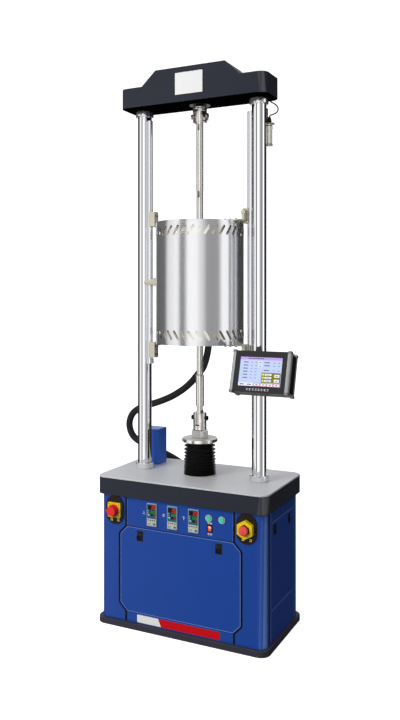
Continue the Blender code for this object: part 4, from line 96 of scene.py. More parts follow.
# %% [markdown]
# Finishes
#
# One node group gives every finish its grain: a fine bump, an uneven shine and a slow drift of tone,
# all on object coordinates so that they stay with the piece. A finish is that group with its own
# colour, shine and stretch; a stretched grain looks brushed.

# %% Finishes
def linear(red, green, blue):
    """Return a display colour of 0 to 255 as linear values with full opacity."""
    values = []
    for channel in (red, green, blue):
        share = channel / 255.0
        values.append(share / 12.92 if share <= 0.04045 else ((share + 0.055) / 1.055) ** 2.4)
    return (values[0], values[1], values[2], 1.0)


def add_node(tree, kind, operation=None, **values):
    """Add a shader node with its operation and its inputs' values; in_1 stands for the second input."""
    node = tree.nodes.new("ShaderNode" + kind)
    if operation:
        node.operation = operation
    for key, value in values.items():
        key = int(key[3:]) if key.startswith("in_") else key.replace("_", " ")
        node.inputs[key].default_value = value
    return node


def join(tree, *links):
    """Link sockets, each link given as node, output, node and input."""
    for source, outlet, target, inlet in links:
        tree.links.new(source.outputs[outlet], target.inputs[inlet])


def grain_group():
    """Return the shared group: colour, shine and grain in, and what the shader needs out."""
    group = bpy.data.node_groups.new("surface_grain", "ShaderNodeTree")
    for name, kind, value in (
        ("Colour", "Color", (0.5, 0.5, 0.5, 1.0)), ("Roughness", "Float", 0.4),
        ("Stretch", "Vector", (1.0, 1.0, 1.0)), ("Grain", "Float", 400.0), ("Depth", "Float", 0.1),
        ("Drift", "Float", 0.1),
    ):
        socket = group.interface.new_socket(name, in_out="INPUT", socket_type="NodeSocket" + kind)
        socket.default_value = value
    for name, kind in (("Colour", "Color"), ("Roughness", "Float"), ("Normal", "Vector")):
        group.interface.new_socket(name, in_out="OUTPUT", socket_type="NodeSocket" + kind)
    entry = group.nodes.new("NodeGroupInput")
    leave = group.nodes.new("NodeGroupOutput")
    place = add_node(group, "TexCoord")
    stretch = add_node(group, "VectorMath", "MULTIPLY")
    fine = add_node(group, "TexNoise", Detail=3.0)
    slow = add_node(group, "TexNoise", Scale=7.0, Detail=2.0)
    bump = add_node(group, "Bump", Distance=0.0004)
    centre = add_node(group, "Math", "SUBTRACT", in_1=0.5)
    drift = add_node(group, "Math", "MULTIPLY_ADD", in_2=1.0)
    tone = add_node(group, "VectorMath", "SCALE")
    uneven = add_node(group, "Math", "MULTIPLY_ADD", in_1=0.16)
    offset = add_node(group, "Math", "SUBTRACT", in_1=0.08)
    join(group, (place, "Object", stretch, 0), (entry, "Stretch", stretch, 1), (stretch, 0, fine, "Vector"),
         (entry, "Grain", fine, "Scale"), (place, "Object", slow, "Vector"), (fine, "Fac", bump, "Height"),
         (entry, "Depth", bump, "Strength"), (slow, "Fac", centre, 0), (centre, 0, drift, 0),
         (entry, "Drift", drift, 1), (entry, "Colour", tone, 0), (drift, 0, tone, "Scale"),
         (fine, "Fac", uneven, 0), (entry, "Roughness", uneven, 2), (uneven, 0, offset, 0),
         (tone, 0, leave, "Colour"), (offset, 0, leave, "Roughness"), (bump, "Normal", leave, "Normal"))
    return group


GRAIN = grain_group()


def finish(name, display_colour, roughness, metallic=0.0, grain=500.0, depth=0.06, drift=0.10,
           stretch=(1.0, 1.0, 1.0), coat=0.0, gloss=0.3, glow=None):
    """Return a finish: the shared grain with its own colour, shine and stretch, and a glow if it is lit."""
    colour = linear(*display_colour)
    material = bpy.data.materials.new(name)
    material.use_nodes = True
    material.diffuse_color = colour
    tree = material.node_tree
    shader = tree.nodes["Principled BSDF"]
    surface = add_node(tree, "Group")
    surface.node_tree = GRAIN
    for node, key, value in (
        (shader, "Metallic", metallic), (shader, "Coat Weight", coat), (shader, "Specular IOR Level", gloss),
        (surface, "Colour", colour), (surface, "Roughness", roughness), (surface, "Stretch", stretch),
        (surface, "Grain", grain), (surface, "Depth", depth), (surface, "Drift", drift),
    ):
        node.inputs[key].default_value = value
    join(tree, (surface, "Colour", shader, "Base Color"), (surface, "Roughness", shader, "Roughness"),
         (surface, "Normal", shader, "Normal"))
    if glow is not None:
        join(tree, (surface, "Colour", shader, "Emission Color"))
        shader.inputs["Emission Strength"].default_value = glow
    return material


def glowing(name, display_colour, strength):
    """Return a lit finish for displays, lamps and the screen, and for the painted glow of the furnace lining and
    the rocker's painted highlight.
    """
    return finish(name, display_colour, 0.35, drift=0.06, glow=strength)


FINISH = {
    "blue": finish("blue_paint", (32, 76, 168), 0.34, grain=350.0, depth=0.05, coat=0.06, gloss=0.22),
    # painted highlight: a lighter blue for the edges along the seams and for the junction box's top, where light
    # catches them
    "painted_highlight_blue": finish("blue_edge_painted_highlight", (112, 142, 214), 0.34, grain=350.0, depth=0.03, gloss=0.2),
    # painted light: a lighter copy of the blue paint for the junction box, which stands in shade
    "box_painted_light_blue": finish("box_painted_light_blue_paint", (66, 116, 222), 0.34, grain=350.0, depth=0.05, coat=0.06, gloss=0.22),
    # painted highlights: lighter copies of the blue and dark paint for the round front right corners; the far
    # copies are lighter still
    "corner_highlight_blue": finish("blue_corner_painted_highlight", (66, 108, 206), 0.34, grain=350.0, depth=0.05, gloss=0.22),
    "corner_highlight_blue_far": finish("blue_corner_painted_highlight_far", (116, 158, 244), 0.34, grain=350.0, depth=0.05, gloss=0.22),
    "corner_highlight_dark": finish("dark_corner_painted_highlight", (72, 74, 80), 0.45, grain=600.0, depth=0.10, gloss=0.12),
    "corner_highlight_dark_far": finish("dark_corner_painted_highlight_far", (104, 106, 112), 0.45, grain=600.0, depth=0.10, gloss=0.12),
    # painted shade: near black for the crosshead's underside, where little light falls
    "under": finish("underside_painted_shade", (15, 15, 18), 0.80, grain=500.0, depth=0.08, gloss=0.0),
    "dark": finish("dark_paint", (50, 53, 63), 0.45, grain=600.0, depth=0.10, gloss=0.12),
    "plinth": finish("plinth_paint", (60, 60, 72), 0.45, grain=500.0, depth=0.10, gloss=0.12),
    "cream": finish("cream_paint", (216, 211, 194), 0.45, grain=700.0, depth=0.10),
    "chrome": finish("chrome", (238, 239, 242), 0.05, 1.0, grain=60.0, depth=0.0, drift=0.03, gloss=0.5),
    "collar": finish("bright_collar", (240, 240, 242), 0.13, 0.82, grain=300.0, depth=0.02, gloss=0.5),
    "steel": finish("machined_steel", (188, 184, 178), 0.34, 1.0, grain=900.0, depth=0.05,
            stretch=(1.0, 1.0, 6.0), gloss=0.5),
    "nickel": finish("nickel_steel", (236, 233, 228), 0.17, 0.95, grain=260.0, depth=0.22, drift=0.35,
            gloss=0.5),
    "brushed": finish("brushed_steel", (220, 221, 224), 0.50, 0.25, grain=700.0, depth=0.14,
            stretch=(0.02, 1.0, 1.0)),
    "casing": finish("polished_casing", (234, 234, 237), 0.17, 0.82, grain=420.0, depth=0.02,
            drift=0.03, stretch=(1.0, 1.0, 0.04), gloss=0.5),
    "zinc": finish("zinc_plate", (222, 218, 204), 0.32, 1.0, grain=500.0, depth=0.06, gloss=0.5),
    "tan": finish("tan_plate", (178, 158, 122), 0.45, 0.3, grain=500.0, depth=0.08),
    "oxide": finish("black_oxide", (26, 25, 28), 0.38, 0.3, grain=800.0, depth=0.08, gloss=0.2),
    "rubber": finish("black_rubber", (22, 22, 24), 0.50, grain=900.0, depth=0.20, gloss=0.35),
    "plastic": finish("black_plastic", (22, 22, 24), 0.42, grain=900.0, depth=0.15, gloss=0.12),
    "case": finish("panel_case", (56, 56, 58), 0.45, grain=900.0, depth=0.12, gloss=0.10),
    "plate": finish("switch_plate", (40, 32, 28), 0.42, grain=700.0, depth=0.12, gloss=0.15),
    "grey": finish("grey_plastic", (160, 176, 192), 0.42, grain=900.0, depth=0.10),
    # painted light: the lining glows faintly all over and more on the stretch seen through the slots, though it is
    # no lamp
    "ceramic": glowing("ceramic_fibre", (236, 226, 204), 0.02),
    "ceramic_painted_light_wide": glowing("ceramic_fibre_painted_light_wide", (244, 238, 222), 0.16),
    "ceramic_painted_light_middle": glowing("ceramic_fibre_painted_light_middle", (250, 247, 236), 0.42),
    "flange_face": finish("turned_flange_face", (206, 203, 196), 0.34, 0.45, grain=400.0, depth=0.12,
            gloss=0.5),
    "mark_yellow": finish("mark_yellow", (252, 240, 128), 0.40, grain=500.0, depth=0.03, gloss=0.2),
    "red": finish("red_plastic", (240, 38, 36), 0.30, grain=700.0, depth=0.05, coat=0.3),
    "yellow": finish("yellow_plastic", (255, 224, 30), 0.36, grain=700.0, depth=0.06),
    "amber": finish("amber_ring", (232, 164, 30), 0.36, grain=700.0, depth=0.06),
    "mint": finish("mint_button", (76, 232, 188), 0.28, grain=700.0, depth=0.05, coat=0.3),
    "coral": finish("coral_plastic", (255, 84, 80), 0.30, grain=700.0, depth=0.05, coat=0.3),
    # the rocker is a lit switch; its upper half glows lighter still, a painted highlight over the lamp's glow
    "rocker_lamp_painted_highlight": glowing("rocker_lamp_painted_highlight", (250, 166, 132), 0.45),
    "rocker_red": glowing("rocker_red", (236, 84, 54), 0.35),
    "rail": finish("panel_rail", (202, 202, 204), 0.45, 0.2, grain=600.0, depth=0.06, stretch=(1.0, 1.0, 0.05)),
    "cap_grey": finish("rail_cap", (140, 140, 142), 0.45, 0.1, grain=700.0, depth=0.08, gloss=0.2),
    "frame": finish("latch_frame", (58, 66, 84), 0.42, 0.2, grain=700.0, depth=0.06, gloss=0.2),
    "white": finish("white_plate", (255, 255, 255), 0.40, grain=500.0, depth=0.04, drift=0.05, gloss=0.2),
    "label_red": finish("label_red", (218, 14, 24), 0.40, grain=500.0, depth=0.03, drift=0.05, gloss=0.2),
    "display": finish("display_window", (16, 14, 16), 0.22, grain=300.0, depth=0.02, gloss=0.2),
    "teal": finish("teal_face", (48, 108, 128), 0.40, grain=500.0, depth=0.05, gloss=0.2),
    "keys": finish("cream_face", (210, 214, 200), 0.45, grain=600.0, depth=0.06),
    "glow_red": glowing("red_digits", (226, 48, 40), 0.45),
    "glow_green": glowing("green_digits", (40, 170, 76), 0.40),
    "screen": glowing("screen_field", (180, 194, 228), 0.38),
    "title_bar": glowing("screen_title", (176, 150, 220), 0.38),
    "screen_white": glowing("screen_white", (222, 226, 236), 0.38),
    "olive": glowing("screen_olive", (122, 116, 16), 0.30),
    "lime": glowing("screen_lime", (222, 226, 96), 0.40),
    "screen_red": glowing("screen_red", (196, 60, 70), 0.35),
    "ink": finish("screen_ink", (58, 62, 92), 0.50, grain=400.0, depth=0.02, gloss=0.1),
    "soft_ink": finish("screen_soft_ink", (138, 146, 172), 0.50, grain=400.0, depth=0.02, gloss=0.1),
}
print("finishes:", len(FINISH))

# %% [markdown]
# Which finish each solid takes
#
# A solid that is one piece in the frame can show several finishes, such as the yellow square on the
# switch's plate. Its faces take them by place; no vertex moves.

# %% Finishes on the solids
SOLIDS = {
    "plinth": ("plinth",),
    "dark": ("table", "crosshead", "panel_clamp", "bearing_housing"),
    "blue": ("cabinet_shell", "control_panel", "front_door", "side_panel_left", "side_panel_right"),
    # the junction box takes the lighter copy of the blue paint, painted light
    "box_painted_light_blue": ("junction_box",),
    "brushed": ("table_top_plate",),
    "chrome": ("column_left", "column_right", "guide_rod_left", "guide_rod_right", "actuator_tube"),
    "oxide": ("load_cell", "lower_clevis_pin"),
    "nickel": ("upper_clevis", "upper_pull_rod", "lower_pull_rod", "lower_clevis", "actuator_flange"),
    "steel": ("upper_clevis_pin", "ball_nut", "ball_screw", "motor_pulley", "thermocouple_strip"),
    "zinc": ("position_sensor",),
    "rubber": ("sensor_cable", "furnace_hose", "bellows", "timing_belt"),
    "plate": ("main_switch_base", "emergency_stop_base"),
    "plastic": ("servo_gearmotor", "front_door_latch_left", "front_door_latch_right", "side_latch_left_front",
                "side_latch_left_rear", "side_latch_right_front", "side_latch_right_rear"),
    "case": ("operator_panel",),
    "grey": ("temperature_controller_left", "temperature_controller_middle", "temperature_controller_right"),
    "casing": ("furnace_rear_shell", "furnace_front_shell", "furnace_terminal_box"),
    "ceramic": ("furnace_rear_lining", "furnace_front_lining"),
    "cream": ("furnace_top_bracket", "furnace_bottom_bracket", "furnace_latch"),
    "red": ("main_switch_knob", "rocker_switch"),
    "coral": ("emergency_stop_button",),
    "mint": ("push_button_left", "push_button_right"),
}
EDGE_WIDTH = 0.0006
EDGE_ANGLE = math.radians(32.0)


def round_edges(piece, width):
    """Give a piece's sharp edges a narrow round."""
    edge = piece.modifiers.new("soft_edges", "BEVEL")
    edge.width = width
    edge.segments = 2
    edge.limit_method = "ANGLE"
    edge.angle_limit = EDGE_ANGLE
    edge.harden_normals = True


def soften(piece):
    """Join a solid's facets, round its sharp edges a little and shade its round faces smoothly."""
    mesh = piece.data
    for layer in ("custom_normal", "sharp_face"):
        if layer in mesh.attributes:
            mesh.attributes.remove(mesh.attributes[layer])
    weld = piece.modifiers.new("joined_facets", "WELD")
    weld.merge_threshold = 0.00001
    round_edges(piece, EDGE_WIDTH)


def paint_faces(node, finish_name, test):
    """Give the faces that pass a test of their middle and their normal another finish."""
    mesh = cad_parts[node].data
    mesh.materials.append(FINISH[finish_name])
    slot = len(mesh.materials) - 1
    for face in mesh.polygons:
        if test(face.center, face.normal):
            face.material_index = slot


for finish_name, names in SOLIDS.items():
    for name in names:
        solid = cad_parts[name]
        solid.data.materials.clear()
        solid.data.materials.append(FINISH[finish_name])
        for face in solid.data.polygons:
            face.material_index = 0
        soften(solid)

CONTROL_FACE_Y = FRONT_Y - 0.0005
PLATE_FACE_Y = FRONT_Y - 0.0048
PANEL_CENTRE_X = 0.347
PANEL_PIVOT = Vector((0.347, -0.078, 1.078))
PANEL_TILT = Matrix.Rotation(math.radians(-17.0), 4, "X")
PANEL_HALF_WIDTH = 0.1225
RAIL_WIDTH = 0.013
SENSOR_CENTRE = (0.309, 0.032)
SENSOR_TOP_Z = 2.118
SENSOR_RADIUS = 0.013
JUNCTION_TOP_Z = 0.7885
CABINET_CORNER = (0.3435, -0.1675)
TABLE_CORNER = (0.351, -0.175)
CROSSHEAD_CORNER = (0.308, -0.067)
GUARD_HOLE_RADIUS = 0.0195
STRIP_MIDDLE_Z = 0.485
LINING_INNER_RADIUS = 0.15
ROCKER_PLACE = (0.143, 0.468)
ROCKER_FACE_Y = -0.2025
TERMINAL_BOX_FOOT_Z = 1.2349
CABINET_BACK_Y = 0.2015
SENSOR_CAP = 0.0055
SENSOR_PLUG_RADIUS = 0.0095


def is_rail(point, normal):
    """Say whether a face of the operator panel belongs to a side rail."""
    return abs(point.x - PANEL_CENTRE_X) > PANEL_HALF_WIDTH - RAIL_WIDTH - 0.0001


def is_panel_pin(point, normal):
    """Say whether a face of the operator panel belongs to the ears and the pin behind it."""
    place = PANEL_TILT.inverted() @ (point - PANEL_PIVOT)
    return place.y > -0.0139 and abs(place.x) < 0.05


def is_furnace_fitting(point, normal):
    """Say whether a face of the front casing belongs to its hinge arms or its latch lugs."""
    beyond_ends = point.z > FURNACE_TOP_Z + 0.0002 or point.z < FURNACE_BOTTOM_Z - 0.0002
    return beyond_ends or math.hypot(point.x, point.y) > FURNACE_RADIUS + 0.0006


def sensor_reach(point):
    """Return how far a point lies from the position sensor's axis."""
    return math.hypot(point.x - SENSOR_CENTRE[0], point.y - SENSOR_CENTRE[1])


def is_sensor_bracket(point, normal):
    """Say whether a face of the position sensor belongs to its angle bracket."""
    beside = sensor_reach(point) > SENSOR_RADIUS + 0.0005
    return point.z > SENSOR_TOP_Z - 0.0005 and (beside or point.z < SENSOR_TOP_Z + SENSOR_CAP)


def is_guard(point, normal):
    """Say whether a face of the stop's plate belongs to the guard in front of it."""
    return point.y < PLATE_FACE_Y and math.hypot(point.x - SWITCH_X, point.z - CONTROL_Z) > GUARD_HOLE_RADIUS


def paint_corner_highlight(node, finish_name, centre, start_deg, end_deg):
    """Give a stretch of a front right round corner a painted highlight finish, by angle from straight ahead."""
    def on_corner(point, normal):
        across = point.x - centre[0]
        ahead = centre[1] - point.y
        turned = math.degrees(math.atan2(across, ahead))
        return across > 0.0 and ahead > 0.0 and start_deg < turned < end_deg

    paint_faces(node, finish_name, on_corner)


def paint_lining(finish_name, half_width_deg):
    """Paint light onto the stretch of the front lining that the camera sees straight through the slots, a painted
    glow.
    """
    def ahead_of_camera(point, normal):
        heading = math.degrees(math.atan2(point.y, point.x))
        near_camera = abs(heading - (CAMERA_TURN_DEG - 90.0)) < half_width_deg
        return near_camera and math.hypot(point.x, point.y) > LINING_INNER_RADIUS

    paint_faces("furnace_front_lining", finish_name, ahead_of_camera)


for node, finish_name, test in (
    ("main_switch_base", "yellow", lambda point, normal: point.y < PLATE_FACE_Y),
    ("emergency_stop_base", "yellow", is_guard),
    ("control_panel", "zinc", lambda point, normal: point.y < CONTROL_FACE_Y),
    ("control_panel", "plastic", lambda point, normal: point.y < CONTROL_FACE_Y and point.z < STRIP_MIDDLE_Z),
    ("operator_panel", "rail", is_rail),
    ("operator_panel", "steel", is_panel_pin),
    ("furnace_front_shell", "cream", is_furnace_fitting),
    ("position_sensor", "tan", is_sensor_bracket),
    ("position_sensor", "plastic",
     lambda point, normal: (point.z > SENSOR_TOP_Z + SENSOR_CAP
                            and sensor_reach(point) < SENSOR_PLUG_RADIUS)),
    # painted shade on the crosshead's underside
    ("crosshead", "under", lambda point, normal: point.z < CROSSHEAD_BOTTOM_Z + 0.0005),
    # painted highlight on the junction box's top face
    ("junction_box", "painted_highlight_blue", lambda point, normal: point.z > JUNCTION_TOP_Z),
    ("furnace_terminal_box", "plastic", lambda point, normal: point.z < TERMINAL_BOX_FOOT_Z),
    ("rocker_switch", "rocker_red", lambda point, normal: point.y < ROCKER_FACE_Y),
    # painted highlight on the rocker's upper half, over its lamp's glow
    ("rocker_switch", "rocker_lamp_painted_highlight",
     lambda point, normal: point.y < ROCKER_FACE_Y and point.z > ROCKER_PLACE[1]),
):
    paint_faces(node, finish_name, test)
# painted light on the lining behind the slots that face the camera
paint_lining("ceramic_painted_light_wide", 30.0)
paint_lining("ceramic_painted_light_middle", 17.0)
# painted highlights on the round front right corners of the cabinet, the table and the crosshead
for node, finish_name, centre, start_deg, end_deg in (
    ("cabinet_shell", "corner_highlight_blue", CABINET_CORNER, 20.0, 52.0),
    ("cabinet_shell", "corner_highlight_blue_far", CABINET_CORNER, 52.0, 88.0),
    ("table", "corner_highlight_dark", TABLE_CORNER, 10.0, 34.0),
    ("table", "corner_highlight_dark_far", TABLE_CORNER, 34.0, 66.0),
    ("table", "corner_highlight_dark", TABLE_CORNER, 66.0, 84.0),
    ("crosshead", "corner_highlight_dark", CROSSHEAD_CORNER, 10.0, 34.0),
    ("crosshead", "corner_highlight_dark_far", CROSSHEAD_CORNER, 34.0, 52.0),
):
    paint_corner_highlight(node, finish_name, centre, start_deg, end_deg)
paint_faces("cabinet_shell", "plastic", lambda point, normal: point.y > CABINET_BACK_Y)
print("dressed the solids with", len(SOLIDS), "finishes")

# %% [markdown]
# Cords
#
# The furnace hose and the sensor's cable repeat the part's routes, with more points.

# %% Cords
HOSE_ROUTE = (
    (-0.060, 0.215, 1.2147), (-0.060, 0.215, 1.202), (-0.060, 0.215, 1.190), (-0.063, 0.215, 1.155),
    (-0.074, 0.218, 1.110), (-0.093, 0.222, 1.065), (-0.122, 0.224, 1.032), (-0.154, 0.225, 0.996),
    (-0.198, 0.226, 0.959), (-0.255, 0.226, 0.924), (-0.306, 0.226, 0.901), (-0.358, 0.226, 0.882),
    (-0.402, 0.226, 0.869), (-0.444, 0.226, 0.850), (-0.476, 0.228, 0.825), (-0.4955, 0.232, 0.790),
    (-0.498, 0.236, 0.753), (-0.484, 0.240, 0.717), (-0.452, 0.243, 0.692), (-0.400, 0.245, 0.673),
    (-0.347, 0.245, 0.656), (-0.294, 0.245, 0.638), (-0.241, 0.244, 0.616), (-0.196, 0.242, 0.590),
    (-0.158, 0.240, 0.567), (-0.134, 0.240, 0.543), (-0.125, 0.240, 0.520), (-0.125, 0.240, 0.507),
    (-0.125, 0.240, 0.4937),
)
SENSOR_CABLE_ROUTE = (
    (0.309, 0.032, 2.1495), (0.312, 0.032, 2.1560), (0.325, 0.033, 2.1590),
    (0.339, 0.036, 2.1660), (0.3445, 0.040, 2.1790), (0.338, 0.044, 2.1950),
    (0.323, 0.046, 2.2080), (0.310, 0.047, 2.2160), (0.306, 0.047, 2.2227),
)
HOSE_DIAMETER = 0.032
SENSOR_CABLE_DIAMETER = 0.0055


def smooth_route(points, count):
    """Return evenly spaced points along a smooth curve through a route's own points."""
    places = [Vector(point) for point in points]
    spans = []
    for index in range(len(places) - 1):
        here = places[index]
        ahead = places[index + 1]
        before = places[index - 1] if index > 0 else here - (ahead - here)
        after = places[index + 2] if index + 2 < len(places) else ahead + (ahead - here)
        start_pull = here + (ahead - before) / 6.0
        end_pull = ahead - (after - here) / 6.0
        fine = interpolate_bezier(here, start_pull, end_pull, ahead, 12)
        spans += fine[:-1] if index < len(places) - 2 else fine
    lengths = [0.0]
    for first, second in zip(spans, spans[1:]):
        lengths.append(lengths[-1] + (second - first).length)
    wanted = []
    for step in range(count):
        target = lengths[-1] * step / (count - 1)
        index = 0
        while index < len(lengths) - 2 and lengths[index + 1] < target:
            index += 1
        share = (target - lengths[index]) / (lengths[index + 1] - lengths[index])
        wanted.append(spans[index].lerp(spans[index + 1], share))
    return wanted


def make_cord(name, route, count, diameter, body, node):
    curve = bpy.data.curves.new(name, "CURVE")
    curve.dimensions = "3D"
    curve.bevel_depth = diameter / 2
    curve.bevel_resolution = 8
    curve.use_fill_caps = True
    spline = curve.splines.new("POLY")
    points = smooth_route(route, count)
    spline.points.add(len(points) - 1)
    for slot, place in zip(spline.points, points):
        slot.co = (place.x, place.y, place.z, 1.0)
    spline.use_smooth = True
    curve.materials.append(FINISH["rubber"])
    cord = bpy.data.objects.new(name, curve)
    bpy.context.scene.collection.objects.link(cord)
    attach(cord, body)
    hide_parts(node)


make_cord("hose", HOSE_ROUTE, 240, HOSE_DIAMETER, "root", "furnace_hose")
make_cord("sensor_lead", SENSOR_CABLE_ROUTE, 60, SENSOR_CABLE_DIAMETER, "root", "sensor_cable")
print("cords: furnace hose and sensor cable")

# %% [markdown]
# Tools for finer pieces
#
# A finer piece is built in one mesh whose faces take their finish by number, then it rides on the body
# of the solid that it stands for.

# %% Tools for finer pieces
FINE_STEPS = 96
ROD_STEPS = 48
SIDES = (("left", -1), ("right", 1))


def mark(faces, number):
    """Give new faces their finish by number."""
    for face in faces:
        face.material_index = number


def add_turned(bm, profile, steps=FINE_STEPS, centre=(0.0, 0.0), axis="Z", start_deg=0.0, sweep_deg=360.0,
               number=0):
    """Turn a closed or axis-ended profile of radius and height about an upright or front-to-back axis."""
    full = sweep_deg >= 360.0
    count = steps if full else steps + 1
    rings = []
    for radius, level in profile:
        if radius < 1e-7:
            point = (centre[0], centre[1], level) if axis == "Z" else (centre[0], level, centre[1])
            rings.append([bm.verts.new(point)])
            continue
        ring = []
        for step in range(count):
            angle = math.radians(start_deg + sweep_deg * step / steps)
            across = centre[0] + radius * math.cos(angle)
            along = centre[1] + radius * math.sin(angle)
            point = (across, along, level) if axis == "Z" else (across, level, along)
            ring.append(bm.verts.new(point))
        rings.append(ring)
    closed = profile[0][0] > 1e-7 and profile[-1][0] > 1e-7
    pairs = list(zip(rings, rings[1:]))
    if closed:
        pairs.append((rings[-1], rings[0]))
    faces = []
    spans = count if full else count - 1
    for first, second in pairs:
        for step in range(spans):
            after = (step + 1) % count
            corners = [first[step % len(first)], first[after % len(first)],
                       second[after % len(second)], second[step % len(second)]]
            unique = list(dict.fromkeys(corners))
            if len(unique) > 2:
                faces.append(bm.faces.new(unique))
    if not full:
        faces.append(bm.faces.new([ring[0] for ring in rings]))
        faces.append(bm.faces.new([ring[-1] for ring in reversed(rings)]))
    mark(faces, number)


def add_loft(bm, rings, number=0):
    """Skin a row of rings of points that have as many corners each, and close both ends."""
    rings = [[bm.verts.new(point) for point in ring] for ring in rings]
    faces = [bm.faces.new(rings[0]), bm.faces.new(list(reversed(rings[-1])))]
    count = len(rings[0])
    for first, second in zip(rings, rings[1:]):
        for step in range(count):
            after = (step + 1) % count
            faces.append(bm.faces.new((first[step], second[step], second[after], first[after])))
    mark(faces, number)


def box_corners(start, end):
    """Return the two rings of four corners of a box between two opposite corners."""
    (low_x, high_x), (low_y, high_y), (low_z, high_z) = (sorted(pair) for pair in zip(start, end))
    square = ((low_y, low_z), (high_y, low_z), (high_y, high_z), (low_y, high_z))
    return [[(x, y, z) for y, z in square] for x in (low_x, high_x)]


def add_block(bm, start, end, number=0):
    """Add a box between two opposite corners."""
    add_loft(bm, box_corners(start, end), number)


def circle(radius, centre, steps):
    """Return the points of a circle in a plane."""
    turns = [math.tau * step / steps for step in range(steps)]
    return [(centre[0] + radius * math.cos(turn), centre[1] + radius * math.sin(turn)) for turn in turns]


def rounded_outline(width, height, radius, centre=(0.0, 0.0), steps=5):
    """Return the points of a rounded rectangle."""
    points = []
    for corner, (side, end) in enumerate(((1, 1), (-1, 1), (-1, -1), (1, -1))):
        middle = (centre[0] + side * (width / 2 - radius), centre[1] + end * (height / 2 - radius))
        for step in range(steps + 1):
            angle = math.pi / 2 * (corner + step / steps)
            points.append((middle[0] + radius * math.cos(angle), middle[1] + radius * math.sin(angle)))
    return points


def add_prism(bm, outline, low, high, axis="Y", number=0):
    """Add an outline pushed along an axis."""
    def place(u, v, level):
        return {"X": (level, u, v), "Y": (u, level, v), "Z": (u, v, level)}[axis]

    add_loft(bm, [[place(u, v, level) for u, v in outline] for level in (low, high)], number)


def shade_round(mesh):
    """Shade a mesh smoothly up to its sharp edges."""
    mesh.polygons.foreach_set("use_smooth", [True] * len(mesh.polygons))
    mesh.set_sharp_from_angle(angle=EDGE_ANGLE)


def finished_piece(bm, name, finishes, body, nodes=(), edge=None):
    """Make an object of a mesh, smooth its round faces, and let it ride on a body."""
    bmesh.ops.recalc_face_normals(bm, faces=bm.faces)
    mesh = bpy.data.meshes.new(name)
    bm.to_mesh(mesh)
    bm.free()
    for finish_name in finishes:
        mesh.materials.append(FINISH[finish_name])
    shade_round(mesh)
    piece = bpy.data.objects.new(name, mesh)
    bpy.context.scene.collection.objects.link(piece)
    if edge:
        round_edges(piece, edge)
    if body:
        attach(piece, body)
    if nodes:
        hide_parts(*nodes)
    return piece


def cut(piece, bm):
    """Cut closed shapes out of a piece and keep the result as its mesh."""
    bmesh.ops.recalc_face_normals(bm, faces=bm.faces)
    mesh = bpy.data.meshes.new("cutter")
    bm.to_mesh(mesh)
    bm.free()
    cutter = bpy.data.objects.new("cutter", mesh)
    bpy.context.scene.collection.objects.link(cutter)
    tool = piece.modifiers.new("cut", "BOOLEAN")
    tool.object = cutter
    tool.solver = "EXACT"
    bpy.context.view_layer.update()
    evaluated = piece.evaluated_get(bpy.context.evaluated_depsgraph_get())
    result = bpy.data.meshes.new_from_object(evaluated)
    piece.modifiers.remove(tool)
    piece.data = result
    shade_round(result)
    bpy.data.objects.remove(cutter)


print("tools ready")

# %% [markdown]
# Columns and guide rods
#
# The ground columns and the rods beside them are turned again with many sides, so that the light panels
# run down them as clean lines.

# %% Columns and guide rods
COLUMN_RADIUS = 0.031
COLLAR_RADIUS = 0.040
COLLAR_HEIGHT = 0.026
GUIDE_RADIUS = 0.0125
GUIDE_STOP_RADIUS = 0.0165
GUIDE_BOTTOM_Z = 1.100
GUIDE_STOP_HEIGHT = 0.022
GUIDE_TOP_Z = 2.176
GUIDE_PLACES = {"left": (-0.2365, -0.0210), "right": (0.2322, 0.0096)}


def dress_columns():
    """Turn both columns with their collars."""
    low = TABLE_TOP_Z + SEAT_GAP
    high = CROSSHEAD_BOTTOM_Z - SEAT_GAP
    soft = 0.003
    half_profile = [
        (COLUMN_RADIUS - 0.004, low), (COLLAR_RADIUS - soft, low), (COLLAR_RADIUS, low + soft),
        (COLLAR_RADIUS, low + COLLAR_HEIGHT - soft), (COLLAR_RADIUS - soft, low + COLLAR_HEIGHT),
        (COLUMN_RADIUS, low + COLLAR_HEIGHT),
    ]
    upper = [(radius, high - (level - low)) for radius, level in reversed(half_profile)]
    for label, side in SIDES:
        bm = bmesh.new()
        add_turned(bm, half_profile + upper, FINE_STEPS, (side * COLUMN_X, 0.0))
        for face in bm.faces:
            middle = face.calc_center_median()
            if math.hypot(middle.x - side * COLUMN_X, middle.y) > COLUMN_RADIUS + 0.001:
                face.material_index = 1
        finished_piece(bm, "column_%s_fine" % label, ["chrome", "collar"], "root", ["column_" + label])


def dress_guides():
    """Turn both guide rods with their stop rings, cut clear of the columns."""
    bevel = 0.001
    low = GUIDE_BOTTOM_Z
    stop_high = low + GUIDE_STOP_HEIGHT
    profile = [
        (0.0, low), (GUIDE_STOP_RADIUS - bevel, low), (GUIDE_STOP_RADIUS, low + bevel),
        (GUIDE_STOP_RADIUS, stop_high - bevel), (GUIDE_STOP_RADIUS - bevel, stop_high), (GUIDE_RADIUS, stop_high),
        (GUIDE_RADIUS, GUIDE_TOP_Z - bevel), (GUIDE_RADIUS - bevel, GUIDE_TOP_Z), (0.0, GUIDE_TOP_Z),
    ]
    clear_radius = COLUMN_RADIUS + SEAT_GAP
    for label, side in SIDES:
        bm = bmesh.new()
        add_turned(bm, profile, ROD_STEPS, GUIDE_PLACES[label])
        piece = finished_piece(bm, "guide_rod_%s_fine" % label, ["chrome"], "root", ["guide_rod_" + label])
        clear = bmesh.new()
        add_turned(clear, [(0.0, low - 0.01), (clear_radius, low - 0.01), (clear_radius, stop_high + 0.01),
                           (0.0, stop_high + 0.01)], FINE_STEPS, (side * COLUMN_X, 0.0))
        cut(piece, clear)


dress_columns()
dress_guides()
print("columns and guide rods turned")

